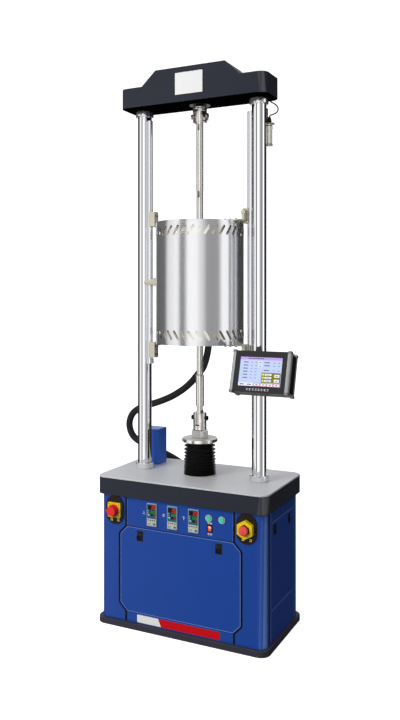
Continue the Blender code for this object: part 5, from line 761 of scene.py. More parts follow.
# %% [markdown]
# Load train
#
# The pull rods, forks and flange are nickel-like and a little rough. Chamfers, a threaded neck and the
# hexagon nut come from one profile each; the slots and pin holes are cut.

# %% Load train
LOWER_PIN_Z = 0.873
UPPER_PIN_Z = 2.177
PIN_RADIUS = 0.006
FLANGE_BOTTOM_Z = 0.7716
FLANGE_TOP_Z = 0.7872
FLANGE_RADIUS = 0.077
TRAIN_NUT_TOP_Z = 0.822
CLEVIS_TOP_Z = 0.897
LOWER_SLOT_HALF = 0.010
COTTER_LEVELS = (2.128, 1.838)
TRAIN_REACH = 0.06


def ring_grooves(radius, levels, width=0.0018, depth=0.0010):
    """Return the profile points of ring grooves cut into a round face."""
    points = []
    for level in levels:
        points += [(radius, level - width / 2), (radius - depth, level - width / 4),
                   (radius - depth, level + width / 4), (radius, level + width / 2)]
    return points


def cut_pin_hole(piece, radius, level):
    """Cut a pin hole from side to side through a piece of the load train."""
    bore = bmesh.new()
    add_prism(bore, circle(radius, (0.0, level), 24), -TRAIN_REACH, TRAIN_REACH, "X")
    cut(piece, bore)


def dress_lower_train():
    """Make the flange with its nut, the lower fork and the lower pull rod."""
    bm = bmesh.new()
    seat = FLANGE_TOP_Z + 0.0012
    add_turned(bm, [
        (0.0, FLANGE_BOTTOM_Z), (FLANGE_RADIUS - 0.002, FLANGE_BOTTOM_Z), (FLANGE_RADIUS, FLANGE_BOTTOM_Z + 0.002),
        (FLANGE_RADIUS, FLANGE_TOP_Z - 0.004), (FLANGE_RADIUS - 0.001, FLANGE_TOP_Z - 0.0015),
        (FLANGE_RADIUS - 0.004, FLANGE_TOP_Z), (0.045, FLANGE_TOP_Z), (0.044, seat), (0.0, seat),
    ])
    for face in bm.faces:
        if face.calc_center_median().z > FLANGE_TOP_Z - 0.0003:
            face.material_index = 1
    finished_piece(bm, "flange_fine", ["nickel", "flange_face"], "actuator", ["actuator_flange"])
    nut = bmesh.new()
    corner = 0.040
    add_turned(nut, [(0.0, seat), (corner - 0.002, seat), (corner, FLANGE_TOP_Z + 0.003),
                     (corner, TRAIN_NUT_TOP_Z - 0.003), (corner - 0.005, TRAIN_NUT_TOP_Z),
                     (0.0, TRAIN_NUT_TOP_Z)], 6)
    finished_piece(nut, "train_nut", ["nickel"], "actuator", edge=0.0008)
    fork = bmesh.new()
    low = TRAIN_NUT_TOP_Z + SEAT_GAP
    add_turned(fork, [(0.0, low), (0.0275, low), (0.029, low + 0.0015)]
               + ring_grooves(0.029, (0.834, 0.841, 0.848, 0.855))
               + [(0.029, CLEVIS_TOP_Z - 0.003), (0.026, CLEVIS_TOP_Z), (0.0, CLEVIS_TOP_Z)])
    piece = finished_piece(fork, "lower_fork_fine", ["nickel"], "actuator", ["lower_clevis"], edge=0.0006)
    slot = bmesh.new()
    add_block(slot, (-LOWER_SLOT_HALF, -TRAIN_REACH, 0.840), (LOWER_SLOT_HALF, TRAIN_REACH, CLEVIS_TOP_Z + 0.01))
    cut(piece, slot)
    cut_pin_hole(piece, PIN_RADIUS + SEAT_GAP, LOWER_PIN_Z)
    rod = bmesh.new()
    add_turned(rod, [
        (0.0, 0.844), (0.018, 0.844), (0.018, 0.905), (0.0125, 0.905), (0.0125, 0.923), (0.0172, 0.923),
        (0.018, 0.924), (0.018, 1.057), (0.014, 1.060), (0.014, 1.353), (0.020, 1.359), (0.020, 1.404),
        (0.019, 1.405), (0.009, 1.405), (0.008, 1.404), (0.008, 1.375), (0.0, 1.375),
    ], ROD_STEPS)
    lower = finished_piece(rod, "lower_rod_fine", ["nickel"], "actuator", ["lower_pull_rod"])
    flats = bmesh.new()
    for side in (-1, 1):
        add_block(flats, (side * (LOWER_SLOT_HALF - SEAT_GAP), -0.05, 0.83), (side * 0.05, 0.05, 0.9055))
    cut(lower, flats)
    cut_pin_hole(lower, PIN_RADIUS + SEAT_GAP, LOWER_PIN_Z)


def dress_upper_train():
    """Make the upper pull rod with its cotter slots, and the upper fork."""
    head_low = 2.1505
    rod = bmesh.new()
    add_turned(rod, [
        (0.0, 1.535), (0.008, 1.535), (0.008, 1.506), (0.009, 1.505), (0.019, 1.505), (0.020, 1.506),
        (0.020, 1.551), (0.0145, 1.557), (0.0145, 1.857), (0.0153, 1.858), (0.0153, head_low),
        (0.0185, head_low), (0.0195, head_low + 0.001), (0.0195, 2.197), (0.0185, 2.198), (0.0, 2.198),
    ], ROD_STEPS)
    upper = finished_piece(rod, "upper_rod_fine", ["nickel"], "upper_rod", ["upper_pull_rod"])
    slots = bmesh.new()
    for middle in COTTER_LEVELS:
        add_prism(slots, rounded_outline(0.0100, 0.029, 0.0048, (0.0, middle)), -0.05, 0.05, "Y")
    cut(upper, slots)
    cut_pin_hole(upper, PIN_RADIUS + 0.0004, UPPER_PIN_Z)
    fork = bmesh.new()
    top = CROSSHEAD_BOTTOM_Z - 0.0043
    add_turned(fork, [(0.0, 2.1475), (0.029, 2.1475), (0.031, 2.1495)]
               + ring_grooves(0.031, (2.1560, 2.1960, 2.2030, 2.2100))
               + [(0.031, top - 0.002), (0.029, top), (0.0, top)])
    piece = finished_piece(fork, "upper_fork_fine", ["nickel"], "root", ["upper_clevis"], edge=0.0006)
    slot = bmesh.new()
    add_block(slot, (-0.0205, -TRAIN_REACH, 2.14), (0.0205, TRAIN_REACH, 2.202))
    cut(piece, slot)
    cut_pin_hole(piece, PIN_RADIUS + SEAT_GAP, UPPER_PIN_Z)


dress_lower_train()
dress_upper_train()
print("load train turned and slotted")

# %% [markdown]
# Bellows
#
# The bellows stretch between the table and the flange. The folds are round at the crest and tighter at the root,
# and stretched at the top.

# %% Bellows
BELLOWS_LOW = TABLE_TOP_Z + 0.0045
BELLOWS_HIGH = FLANGE_BOTTOM_Z - 0.0006
BELLOWS_RISE = BELLOWS_HIGH - BELLOWS_LOW
BELLOWS_CREST = 0.0680
BELLOWS_TAPER = 0.0014
BELLOWS_DEPTHS = (0.0125, 0.0160)
BELLOWS_SAG = 0.0008
BELLOWS_STRETCH = 1.2
BELLOWS_WALL = 0.0018
BELLOWS_FOLDS = 11
BELLOWS_FOLD_STEPS = 10


def dress_bellows():
    """Make the folded tube, and the clamp ring that holds its foot on the table."""
    weights = [1.0 + BELLOWS_STRETCH * index / (BELLOWS_FOLDS - 1) for index in range(BELLOWS_FOLDS)]
    outer = []
    level = BELLOWS_LOW
    for index, weight in enumerate(weights):
        pitch = BELLOWS_RISE * weight / sum(weights)
        depth = BELLOWS_DEPTHS[0] + (BELLOWS_DEPTHS[1] - BELLOWS_DEPTHS[0]) * index / BELLOWS_FOLDS
        for step in range(BELLOWS_FOLD_STEPS):
            share = step / BELLOWS_FOLD_STEPS
            fold = (1.0 - 2.0 * share) ** 2
            sag = BELLOWS_SAG * math.sin(index * 2.4)
            height = level + pitch * share
            crest = BELLOWS_CREST + BELLOWS_TAPER * (1.0 - (height - BELLOWS_LOW) / BELLOWS_RISE)
            outer.append((crest - depth * (1.0 - fold) + sag * fold, height))
        level += pitch
    outer.append((BELLOWS_CREST, BELLOWS_HIGH))
    inner = [(radius - BELLOWS_WALL, height) for radius, height in reversed(outer)]
    bm = bmesh.new()
    add_turned(bm, outer + inner)
    bellows = finished_piece(bm, "bellows_fine", ["rubber"], None, ["bellows"])
    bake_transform(bellows)
    ring = bmesh.new()
    low = TABLE_TOP_Z + SEAT_GAP
    add_turned(ring, [(0.052, low), (0.069, low), (0.0695, low + 0.0005), (0.0695, low + 0.0032),
                      (0.069, low + 0.0038), (0.052, low + 0.0038)])
    finished_piece(ring, "bellows_ring", ["zinc"], "root")


dress_bellows()

# %% [markdown]
# Furnace
#
# Both casing halves are thin shells with leaning slots that end round. The band of slots leans one way
# at the top and the other way at the bottom. The arms and lugs on the front half are cream.

# %% Furnace
CASING_WALL = 0.002
CASING_STEPS = 90
END_HOLE_RADIUS = 0.040
SLOT_PITCH_DEG = 10.0
SLOT_WIDTH = 0.0110
SLOT_HEIGHT = 0.041
SLOT_LEAN = math.radians(32.0)
SLOT_END_MARGIN = 0.0225
SLOT_CUTTER_REACH = 0.012
SPLIT_GAP = 0.0003
HINGE_PLACE = (0.2125, -0.016)
ARM_THICKNESS = 0.0055
EYE_REACH = 0.028
LATCH_TURN = math.radians(197.0)
LATCH_MIDDLE_Z = 1.4595
FURNACE_ENDS = ((FURNACE_TOP_Z, 1), (FURNACE_BOTTOM_Z, -1))


def slot_outline(lean):
    """Return a leaning slot with round ends: along the casing and up, about its middle."""
    radius = SLOT_WIDTH / 2
    rise = SLOT_HEIGHT / 2 - radius
    shift = lean * rise * math.tan(SLOT_LEAN)
    points = []
    for end in (1, -1):
        start = (0.0 if end > 0 else math.pi) - lean * SLOT_LEAN
        for step in range(9):
            angle = start + math.pi * step / 8
            points.append((end * shift + radius * math.cos(angle), end * rise + radius * math.sin(angle)))
    return points


def add_slot_cutters(bm, start_deg):
    """Add the leaning cutters of one half, in a band at each end."""
    top = FURNACE_TOP_Z - SLOT_END_MARGIN - SLOT_HEIGHT / 2
    bottom = FURNACE_BOTTOM_Z + SLOT_END_MARGIN + SLOT_HEIGHT / 2
    for middle, lean in ((top, 1.0), (bottom, -1.0)):
        outline = slot_outline(lean)
        for index in range(int(180.0 / SLOT_PITCH_DEG)):
            angle = math.radians(start_deg + (index + 0.5) * SLOT_PITCH_DEG)
            out = Vector((math.cos(angle), math.sin(angle), 0.0))
            along = Vector((-math.sin(angle), math.cos(angle), 0.0))
            places = [along * u + Vector((0.0, 0.0, middle + v)) for u, v in outline]
            add_loft(bm, [[out * (FURNACE_RADIUS + reach) + place for place in places]
                          for reach in (-SLOT_CUTTER_REACH, SLOT_CUTTER_REACH)])


def casing_profile():
    """Return the section of a casing half, with a rolled edge at both ends."""
    low = FURNACE_BOTTOM_Z
    high = FURNACE_TOP_Z
    outer = FURNACE_RADIUS
    roll = 0.0015
    return [
        (END_HOLE_RADIUS, low), (outer - roll, low), (outer - 0.0004, low + 0.0004), (outer, low + roll),
        (outer, high - roll), (outer - 0.0004, high - 0.0004), (outer - roll, high), (END_HOLE_RADIUS, high),
        (END_HOLE_RADIUS, high - CASING_WALL), (outer - CASING_WALL, high - CASING_WALL),
        (outer - CASING_WALL, low + CASING_WALL), (END_HOLE_RADIUS, low + CASING_WALL),
    ]


def dress_casing(label, start_deg, body):
    """Make one casing half and cut its slots."""
    bm = bmesh.new()
    add_turned(bm, casing_profile(), CASING_STEPS, start_deg=start_deg, sweep_deg=180.0)
    offset = SPLIT_GAP if start_deg == 0.0 else -SPLIT_GAP
    bmesh.ops.translate(bm, verts=bm.verts, vec=(0.0, offset, 0.0))
    casing = finished_piece(bm, "casing_%s_fine" % label, ["casing"], body, ["furnace_%s_shell" % label])
    slots = bmesh.new()
    add_slot_cutters(slots, start_deg)
    cut(casing, slots)


def hinge_arm_outline():
    """Return the plan of a front hinge arm: a bar that narrows into its round eye."""
    x, y = HINGE_PLACE
    points = [(0.120, y - 0.028), (x - 0.014, y - 0.028)]
    for step in range(13):
        angle = math.radians(-70.0 + 250.0 * step / 12)
        points.append((x + 0.009 * math.cos(angle), y + 0.009 * math.sin(angle)))
    points += [(x - 0.016, y + 0.0085), (0.120, y + 0.0085)]
    return points


def add_cap_screw(bm, centre, face, outward, radius):
    """Add a socket-head screw that stands on a level face."""
    high = face + outward * radius * 0.9
    hole = radius * 0.5
    deep = high - outward * radius * 0.5
    add_turned(bm, [(0.0, deep), (hole, deep), (hole, high), (radius * 0.85, high),
                    (radius, high - outward * radius * 0.15), (radius, face), (0.0, face)], 24, centre)


def dress_front_arms():
    """Make the arms and eyes of the front half, with their cap screws."""
    arms = bmesh.new()
    eyes = bmesh.new()
    screws = bmesh.new()
    for end, outward in FURNACE_ENDS:
        face = end + outward * ARM_THICKNESS
        low, high = sorted((end + outward * 0.0001, face))
        add_prism(arms, hinge_arm_outline(), low, high, "Z")
        low, high = sorted((face - outward * 0.0005, end + outward * EYE_REACH))
        add_turned(eyes, [(0.0048, low), (0.0085, low), (0.009, low + 0.0005), (0.009, high - 0.0005),
                          (0.0085, high), (0.0048, high)], ROD_STEPS, HINGE_PLACE)
        for x in (0.132, 0.156, 0.182):
            add_cap_screw(screws, (x, HINGE_PLACE[1] - 0.010), face, outward, 0.0045)
    finished_piece(arms, "front_hinge_arms", ["cream"], "furnace_front", edge=0.0006)
    finished_piece(eyes, "front_hinge_eyes", ["cream"], "furnace_front")
    finished_piece(screws, "front_arm_screws", ["oxide"], "furnace_front")


def dress_latch():
    """Make the lugs and the wedge handle at the left seam."""
    out = Vector((math.cos(LATCH_TURN), math.sin(LATCH_TURN), 0.0))
    along = Vector((-out.y, out.x, 0.0))
    base = out * (FURNACE_RADIUS - 0.0008) + Vector((0.0, 0.0, LATCH_MIDDLE_Z))

    def place(reach, side, rise):
        return base + out * reach + along * side + Vector((0.0, 0.0, rise))

    def squared(share):
        return math.copysign(abs(share) ** 0.6, share)

    lugs = bmesh.new()
    for low, high in ((0.0144, 0.018), (-0.018, -0.0144)):
        rings = box_corners((0.0, -0.009, low), (0.016, 0.009, high))
        add_loft(lugs, [[place(*corner) for corner in ring] for ring in rings])
    finished_piece(lugs, "latch_lugs", ["cream"], "furnace_front", edge=0.0008)
    handle = bmesh.new()
    sections = ((0.004, 0.0060, 0.0136), (0.016, 0.0060, 0.0136), (0.030, 0.0052, 0.0125),
                (0.042, 0.0042, 0.0098), (0.052, 0.0034, 0.0062), (0.058, 0.0028, 0.0034))
    turns = circle(1.0, (0.0, 0.0), 16)
    add_loft(handle, [[place(reach, thick * squared(u), rise * squared(v)) for u, v in turns]
                      for reach, thick, rise in sections])
    finished_piece(handle, "latch_handle", ["cream"], "furnace_handle", ["furnace_latch"])


def dress_fittings():
    """Add the slide blocks' screws, the hinge pins' ends and the position sensor's rings."""
    screws = bmesh.new()
    face = -0.203
    head = ((0.0, 0.0030), (0.0020, 0.0030), (0.0026, 0.0024))
    for z in (1.7235, 1.7525, 1.1425, 1.1770):
        for y in (-0.0305, -0.0145):
            add_loft(screws, [[(face + rise, u, v) for u, v in circle(radius, (y, z), 20)]
                              for rise, radius in head])
    finished_piece(screws, "block_screws", ["oxide"], "furnace_rear")
    pins = bmesh.new()
    for end, outward in FURNACE_ENDS:
        low, high = sorted((end + outward * (EYE_REACH + 0.0003), end + outward * 0.0320))
        add_turned(pins, [(0.0, low), (0.0070, low), (0.0075, low + 0.0006), (0.0075, high - 0.0006),
                          (0.0070, high), (0.0, high)], 32, HINGE_PLACE)
    finished_piece(pins, "hinge_pin_ends", ["oxide"], "furnace_rear")
    rings = bmesh.new()
    for level in (2.0285, 2.0335, 2.1105):
        add_turned(rings, [(0.0128, level), (0.0134, level), (0.0134, level + 0.0022), (0.0128, level + 0.0022)],
                   ROD_STEPS, SENSOR_CENTRE)
    finished_piece(rings, "sensor_rings", ["oxide"], "root")


dress_casing("rear", 0.0, "furnace_rear")
dress_casing("front", 180.0, "furnace_front")
dress_front_arms()
dress_latch()
dress_fittings()
print("furnace casing slotted, arms and latch made")

# %% [markdown]
# Cabinet front
#
# Grooves, latches, labels and prints. A print is a sheet a little over a tenth of a millimetre thick
# that sits just off the face. Words of the photograph are left out or kept as plain strokes.

# %% Cabinet front
BAY_HALF_WIDTH = 0.250
DOOR_HALF_WIDTH = 0.282
DOOR_LOW_Z = 0.066
DOOR_HIGH_Z = 0.427
DOOR_KNEE = 0.033
SIDE_GROOVE = 0.005
SIDE_PANEL_LOW_Z = 0.152
SIDE_PANEL_HIGH_Z = 0.502
SIDE_PANEL_HALF = 0.137
SEAM_FOOT_Z = 0.0268
SEAM_HEAD_Z = 0.5500
THIN_SEAM = 0.0015
DOOR_HIGHLIGHT_WIDTH = 0.0026
STRIP_HIGHLIGHT_WIDTH = 0.0013
SHADE_LINE_WIDTH = 0.0040
SHADE_LINE_OFFSET = 0.0018
SIDE_HIGHLIGHT_WIDTH = 0.0070
SIDE_HIGHLIGHT_HEIGHT = 0.0042
LATCH_WIDTH = 0.028
LATCH_HEIGHT = 0.040
LATCH_DEPTH = 0.0035
LATCH_RIM = 0.0022
FRONT_LATCHES = ((-0.182, 0.392), (0.182, 0.392))
SIDE_LATCHES = ((-0.085, 0.466), (0.085, 0.466))


def add_print(bm, left, low, right, high, face=FRONT_Y, number=0):
    """Add a thin printed rectangle on a face that looks forward."""
    add_block(bm, (left, face - PRINT, low), (right, face - PRINT_GAP, high), number)


def add_strokes(bm, strokes, centre, size=1.0, face=FRONT_Y, number=0):
    """Add printed strokes about a centre, each given by its left, low, right and high edge."""
    for left, low, right, high in strokes:
        add_print(bm, centre[0] + left * size, centre[1] + low * size, centre[0] + right * size,
                  centre[1] + high * size, face, number)


def add_lines(bm, points, width):
    """Add thin printed lines from point to point on the cabinet's front."""
    for start, end in zip(points, points[1:]):
        run = Vector((end[0] - start[0], end[1] - start[1]))
        side = Vector((-run.y, run.x)).normalized() * width / 2
        outline = [(start[0] + side.x, start[1] + side.y), (end[0] + side.x, end[1] + side.y),
                   (end[0] - side.x, end[1] - side.y), (start[0] - side.x, start[1] - side.y)]
        add_prism(bm, outline, FRONT_Y - PRINT, FRONT_Y - PRINT_GAP)


def door_corners(side, end):
    """Return the corners of the front door's outline, from its lower right corner round to the left."""
    low = DOOR_LOW_Z + end
    high = DOOR_HIGH_Z - end
    right = [(BAY_HALF_WIDTH - side, low), (DOOR_HALF_WIDTH - side, low + DOOR_KNEE),
             (DOOR_HALF_WIDTH - side, high - DOOR_KNEE), (BAY_HALF_WIDTH - side, high)]
    return right + [(-x, z) for x, z in reversed(right)]


def paint_grooves():
    """Blacken the gaps beside the door and the bay as painted shade, and the floors of the latch recesses."""
    def in_front_gap(point, normal):
        inside = FRONT_Y + 0.0003 < point.y < FRONT_Y + 0.022 and normal.y < 0.5
        return inside and abs(point.x) < DOOR_HALF_WIDTH + 0.004

    def in_side_gap(point, normal):
        side = math.copysign(1.0, point.x)
        return SIDE_X - 0.012 < side * point.x < SIDE_X - 0.0003 and side * normal.x > -0.5

    for node in ("front_door", "control_panel", "cabinet_shell"):
        paint_faces(node, "plastic", in_front_gap)
    for label, side in SIDES:
        paint_faces("side_panel_" + label, "plastic", in_side_gap)


def dress_front_seams():
    """Draw the painted highlight lines along the edges of the door and the strip above, and the painted shade lines
    beside them.
    """
    door = bmesh.new()
    corners = door_corners(SIDE_GROOVE + 0.0015, THIN_SEAM + 0.0015)
    add_lines(door, corners + corners[:1], DOOR_HIGHLIGHT_WIDTH)
    finished_piece(door, "door_edge_painted_highlight", ["painted_highlight_blue"], "door")
    strip = bmesh.new()
    painted_shade_strips = bmesh.new()
    for label, side in SIDES:
        edge = side * (BAY_HALF_WIDTH - SIDE_GROOVE - 0.0009)
        add_lines(strip, ((edge, DOOR_HIGH_Z + THIN_SEAM), (edge, SEAM_HEAD_Z)), STRIP_HIGHLIGHT_WIDTH)
        edge = side * (BAY_HALF_WIDTH + SHADE_LINE_OFFSET)
        outer = side * (DOOR_HALF_WIDTH + SHADE_LINE_OFFSET)
        add_lines(painted_shade_strips, ((edge, SEAM_FOOT_Z), (edge, DOOR_LOW_Z), (outer, DOOR_LOW_Z + DOOR_KNEE),
                         (outer, DOOR_HIGH_Z - DOOR_KNEE), (edge, DOOR_HIGH_Z), (edge, SEAM_HEAD_Z)), SHADE_LINE_WIDTH)
    finished_piece(strip, "strip_edge_painted_highlight", ["painted_highlight_blue"], "root")
    return painted_shade_strips


def dress_side_seams(painted_shade_strips):
    """Draw the painted shade lines and painted highlight lines round the side panels, each on the piece that it
    belongs to.
    """
    shine = bmesh.new()
    half = SIDE_PANEL_HALF
    edge = half - THIN_SEAM - PRINT
    low = SIDE_PANEL_LOW_Z
    high = SIDE_PANEL_HIGH_Z
    whole = (SEAM_FOOT_Z, SEAM_HEAD_Z)
    for label, side in SIDES:
        def add_strip(bm, start_y, end_y, start_z, end_z):
            add_block(bm, (side * SIDE_X, start_y, start_z), (side * (SIDE_X + PRINT), end_y, end_z))

        add_strip(painted_shade_strips, -half - 0.0095, -half - PRINT, *whole)
        add_strip(painted_shade_strips, half + PRINT, half + 0.0060, *whole)
        add_strip(shine, half + 0.0062, half + 0.0110, *whole)
        add_strip(shine, -edge, edge, low - SIDE_HIGHLIGHT_HEIGHT, low - PRINT)
        for start_z, end_z in ((SEAM_FOOT_Z, low - PRINT), (high + PRINT, SEAM_HEAD_Z)):
            add_strip(shine, -edge, SIDE_HIGHLIGHT_WIDTH - edge, start_z, end_z)
        rim = bmesh.new()
        rim_high = high - THIN_SEAM - PRINT
        add_strip(rim, -edge, SIDE_HIGHLIGHT_WIDTH - edge, low + THIN_SEAM + PRINT, rim_high)
        add_strip(rim, -edge, edge, rim_high - 0.0040, rim_high)
        finished_piece(rim, "side_panel_painted_highlight_%s" % label, ["painted_highlight_blue"], "%s_panel" % label)
    finished_piece(painted_shade_strips, "bay_edge_painted_shade_strips", ["plastic"], "root")
    finished_piece(shine, "side_seam_painted_highlight", ["painted_highlight_blue"], "root")


def add_latch_recess(frames, floors, middle_u, middle_v, place):
    """Add a latch's frame and its dark floor; place turns a place across, inward and up into one in space."""
    half_u = LATCH_WIDTH / 2
    half_v = LATCH_HEIGHT / 2
    for start_u, start_v, end_u, end_v in (
        (-half_u - LATCH_RIM, -half_v - LATCH_RIM, -half_u, half_v + LATCH_RIM),
        (half_u, -half_v - LATCH_RIM, half_u + LATCH_RIM, half_v + LATCH_RIM),
        (-half_u, half_v, half_u, half_v + LATCH_RIM),
        (-half_u, -half_v - LATCH_RIM, half_u, -half_v),
    ):
        add_block(frames, place(middle_u + start_u, -0.0007, middle_v + start_v),
                  place(middle_u + end_u, -0.00005, middle_v + end_v))
    inset_u = half_u - 0.0001
    inset_v = half_v - 0.0001
    add_block(floors, place(middle_u - inset_u, LATCH_DEPTH - 0.0002, middle_v - inset_v),
              place(middle_u + inset_u, LATCH_DEPTH - PRINT_GAP, middle_v + inset_v))


def dress_latches():
    """Make the latch frames, the dark recess floors and the ridged thumb pieces."""
    frames = bmesh.new()
    floors = bmesh.new()
    for x, z in FRONT_LATCHES:
        add_latch_recess(frames, floors, x, z, lambda u, depth, v: (u, FRONT_Y + depth, v))
    finished_piece(frames, "front_latch_frames", ["frame"], "door", edge=0.0003)
    finished_piece(floors, "front_latch_floors", ["plastic"], "door")
    for (label, side), (x, z) in zip(SIDES, FRONT_LATCHES):
        thumb = bmesh.new()
        top = z + LATCH_HEIGHT / 2 - 0.0012
        face = FRONT_Y - 0.00102
        add_block(thumb, (x - 0.0126, FRONT_Y - 0.00125, top - 0.0190), (x - 0.0090, face, top))
        for ridge in range(1, 5):
            level = top - ridge * 0.0040
            add_block(thumb, (x - 0.0060, FRONT_Y - 0.0016, level - 0.0012), (x + 0.0110, face, level))
        finished_piece(thumb, "front_thumb_" + label, ["frame"], "door_latch_" + label, edge=0.0002)
    for label, side in SIDES:
        frames = bmesh.new()
        floors = bmesh.new()
        for y, z in SIDE_LATCHES:
            add_latch_recess(frames, floors, y, z, lambda u, depth, v: (side * (SIDE_X - depth), u, v))
        finished_piece(frames, "side_latch_frames_" + label, ["frame"], label + "_panel", edge=0.0003)
        finished_piece(floors, "side_latch_floors_" + label, ["plastic"], label + "_panel")


def label_end(edge, low, high, inward):
    """Return the clipped corners of one end of the label, from its upper corner to its lower one."""
    radius = 0.004
    clip = 0.0012
    return [(edge + inward * radius, high), (edge + inward * clip, high - clip), (edge, high - radius),
            (edge, low + radius), (edge + inward * clip, low + clip), (edge + inward * radius, low)]


def dress_foot_label():
    """Put the blank white and red label on the foot of the door bay."""
    low = 0.0290
    high = 0.0610
    split_low = -0.0805
    split_high = -0.0947
    gap = 0.0004
    white = [(split_high, high)] + label_end(-0.1949, low, high, 1) + [(split_low, low)]
    red = [(split_high + gap, high)] + label_end(0.1877, low, high, -1) + [(split_low + gap, low)]
    label = bmesh.new()
    for number, outline in enumerate((white, red)):
        add_prism(label, outline, FRONT_Y - 0.0004, FRONT_Y - PRINT_GAP, "Y", number)
    finished_piece(label, "foot_label", ["white", "label_red"], "root")


paint_grooves()
dress_side_seams(dress_front_seams())
dress_latches()
dress_foot_label()
print("cabinet front: grooves, seams, latches and label")

# %% [markdown]
# Instruments
#
# The controllers keep their real place and size. Their faces show three lines of generic digits, lamps
# and keys; the digits are seven-segment figures made of bars.

# %% Instruments
CONTROLLER_XS = (-0.122, -0.0255, 0.0715)
CONTROLLER_FACE_Y = -0.2073
LEGEND_X = 0.1430
LEGEND_LEVELS = (0.4895, 0.4455)
SQUARE_FACE_Y = FRONT_Y - 0.0123
OVAL_FACE_Y = FRONT_Y - 0.0043
SEGMENTS = {
    "0": "abcdef", "1": "bc", "2": "abged", "3": "abgcd", "4": "fgbc", "5": "afgcd", "6": "afgedc", "7": "abc",
    "8": "abcdefg", "9": "abcdfg",
}


def add_figure(bm, figure, left, low, width, height, face, number):
    """Add one seven-segment figure as thin bars."""
    bar = height * 0.13
    half = height / 2
    places = {
        "a": (0.0, height - bar, width, height), "d": (0.0, 0.0, width, bar),
        "g": (0.0, half - bar / 2, width, half + bar / 2),
        "b": (width - bar, half, width, height), "c": (width - bar, 0.0, width, half),
        "f": (0.0, half, bar, height), "e": (0.0, 0.0, bar, half),
    }
    for segment in SEGMENTS[figure]:
        start_x, start_z, end_x, end_z = places[segment]
        add_print(bm, left + start_x, low + start_z, left + end_x, low + end_z, face, number)


def add_number(bm, text, right, low, height, face, number):
    """Add a row of figures that ends at the right."""
    width = height * 0.52
    step = height * 0.74
    left = right - step * len(text) + (step - width)
    for index, figure in enumerate(text):
        add_figure(bm, figure, left + step * index, low, width, height, face, number)


def dress_controller(label, centre_x, readings):
    """Make one temperature controller's face on its body."""
    bm = bmesh.new()
    face = CONTROLLER_FACE_Y - 0.0006
    glass = face - PRINT
    front = glass - PRINT
    add_prism(bm, rounded_outline(0.0432, 0.0912, 0.0016, (centre_x, CONTROL_Z)), face,
              CONTROLLER_FACE_Y - 0.00004)
    low = CONTROL_Z - 0.048
    left = centre_x - 0.0205
    for number, fields in ((1, ((0.0, 0.033, 0.041, 0.0925),)), (2, ((0.0, 0.0045, 0.041, 0.0328),))):
        add_strokes(bm, fields, (left, low), face=face, number=number)
    windows = ((0.0025, 0.0700, 0.0400, 0.0885), (0.0115, 0.0545, 0.0390, 0.0682), (0.0165, 0.0430, 0.0390, 0.0528))
    lamps = [(0.0020, 0.0640 - step, 0.0048, 0.0662 - step) for step in (0.0, 0.0080, 0.0160)]
    lamps.append((0.0060, 0.0460, 0.0105, 0.0500))
    keys = [(0.0022, 0.0120, 0.0180, 0.0136), (0.0022, 0.0078, 0.0150, 0.0092)]
    for step in range(4):
        start = 0.0022 + step * 0.0096
        keys += [(start, 0.0245, start + 0.0068, 0.0285), (start + 0.0010, 0.0200, start + 0.0058, 0.0212)]
    for number, fields in ((3, windows), (6, lamps), (7, keys)):
        add_strokes(bm, fields, (left, low), face=glass, number=number)
    for text, end, bottom, height, number in zip(readings, (0.0388, 0.0378, 0.0378), (0.0722, 0.0562, 0.0446),
                                                 (0.0140, 0.0104, 0.0066), (4, 5, 4)):
        add_number(bm, text, left + end, low + bottom, height, front, number)
    add_prism(bm, rounded_outline(0.0110, 0.0085, 0.0020, (left + 0.0330, low + 0.0112)), front, face, "Y", 1)
    finishes = ["grey", "teal", "keys", "display", "glow_red", "glow_green", "white", "frame"]
    finished_piece(bm, "controller_face_" + label, finishes, "root")


def dress_legends():
    """Print the white legends: three zone marks, two lines of strokes, and the rocker's dark frame."""
    bm = bmesh.new()
    zones = (
        ((-0.1625, 0.494), ((-0.05, -0.5, 0.05, 0.5), (0.05, 0.02, 0.35, 0.10), (-0.45, -0.5, 0.45, -0.40))),
        ((-0.0680, 0.493), ((-0.42, 0.22, 0.42, 0.32), (-0.42, -0.22, 0.42, -0.12), (-0.42, -0.22, -0.32, 0.32),
                            (0.32, -0.22, 0.42, 0.32), (-0.05, -0.5, 0.05, 0.55))),
        ((0.0250, 0.493), ((-0.45, 0.40, 0.45, 0.50), (-0.05, -0.5, 0.05, 0.40), (0.05, 0.05, 0.18, 0.14),
                           (0.15, -0.06, 0.30, 0.05))),
    )
    for place, strokes in zones:
        add_strokes(bm, strokes, place, 0.0135)
    sign = ((0.0, 0.0026, 0.0084, 0.0043), (0.0, -0.0009, 0.0084, 0.0009), (0.0, -0.0043, 0.0084, -0.0026),
            (0.0010, -0.0043, 0.0028, 0.0043), (0.0056, -0.0043, 0.0074, 0.0043))
    for level in LEGEND_LEVELS:
        for left in (LEGEND_X - 0.0095, LEGEND_X + 0.0010):
            add_strokes(bm, sign, (left, level))
    add_strokes(bm, ((-0.0130, -0.0165, -0.0101, 0.0162), (0.0101, -0.0165, 0.0130, 0.0162),
                     (-0.0101, -0.0162, 0.0101, -0.0141), (-0.0101, 0.0141, 0.0101, 0.0162)),
                ROCKER_PLACE, number=1)
    finished_piece(bm, "white_legends", ["white", "plastic"], "root")


def add_screw_head(bm, centre, face, radius):
    """Add a flat screw head on a face that looks forward."""
    rim = radius + 0.0004
    add_turned(bm, [(0.0, face - 0.0008), (radius, face - 0.0008), (rim, face - 0.0004), (rim, face),
                    (0.0, face)], 20, centre, "Y")


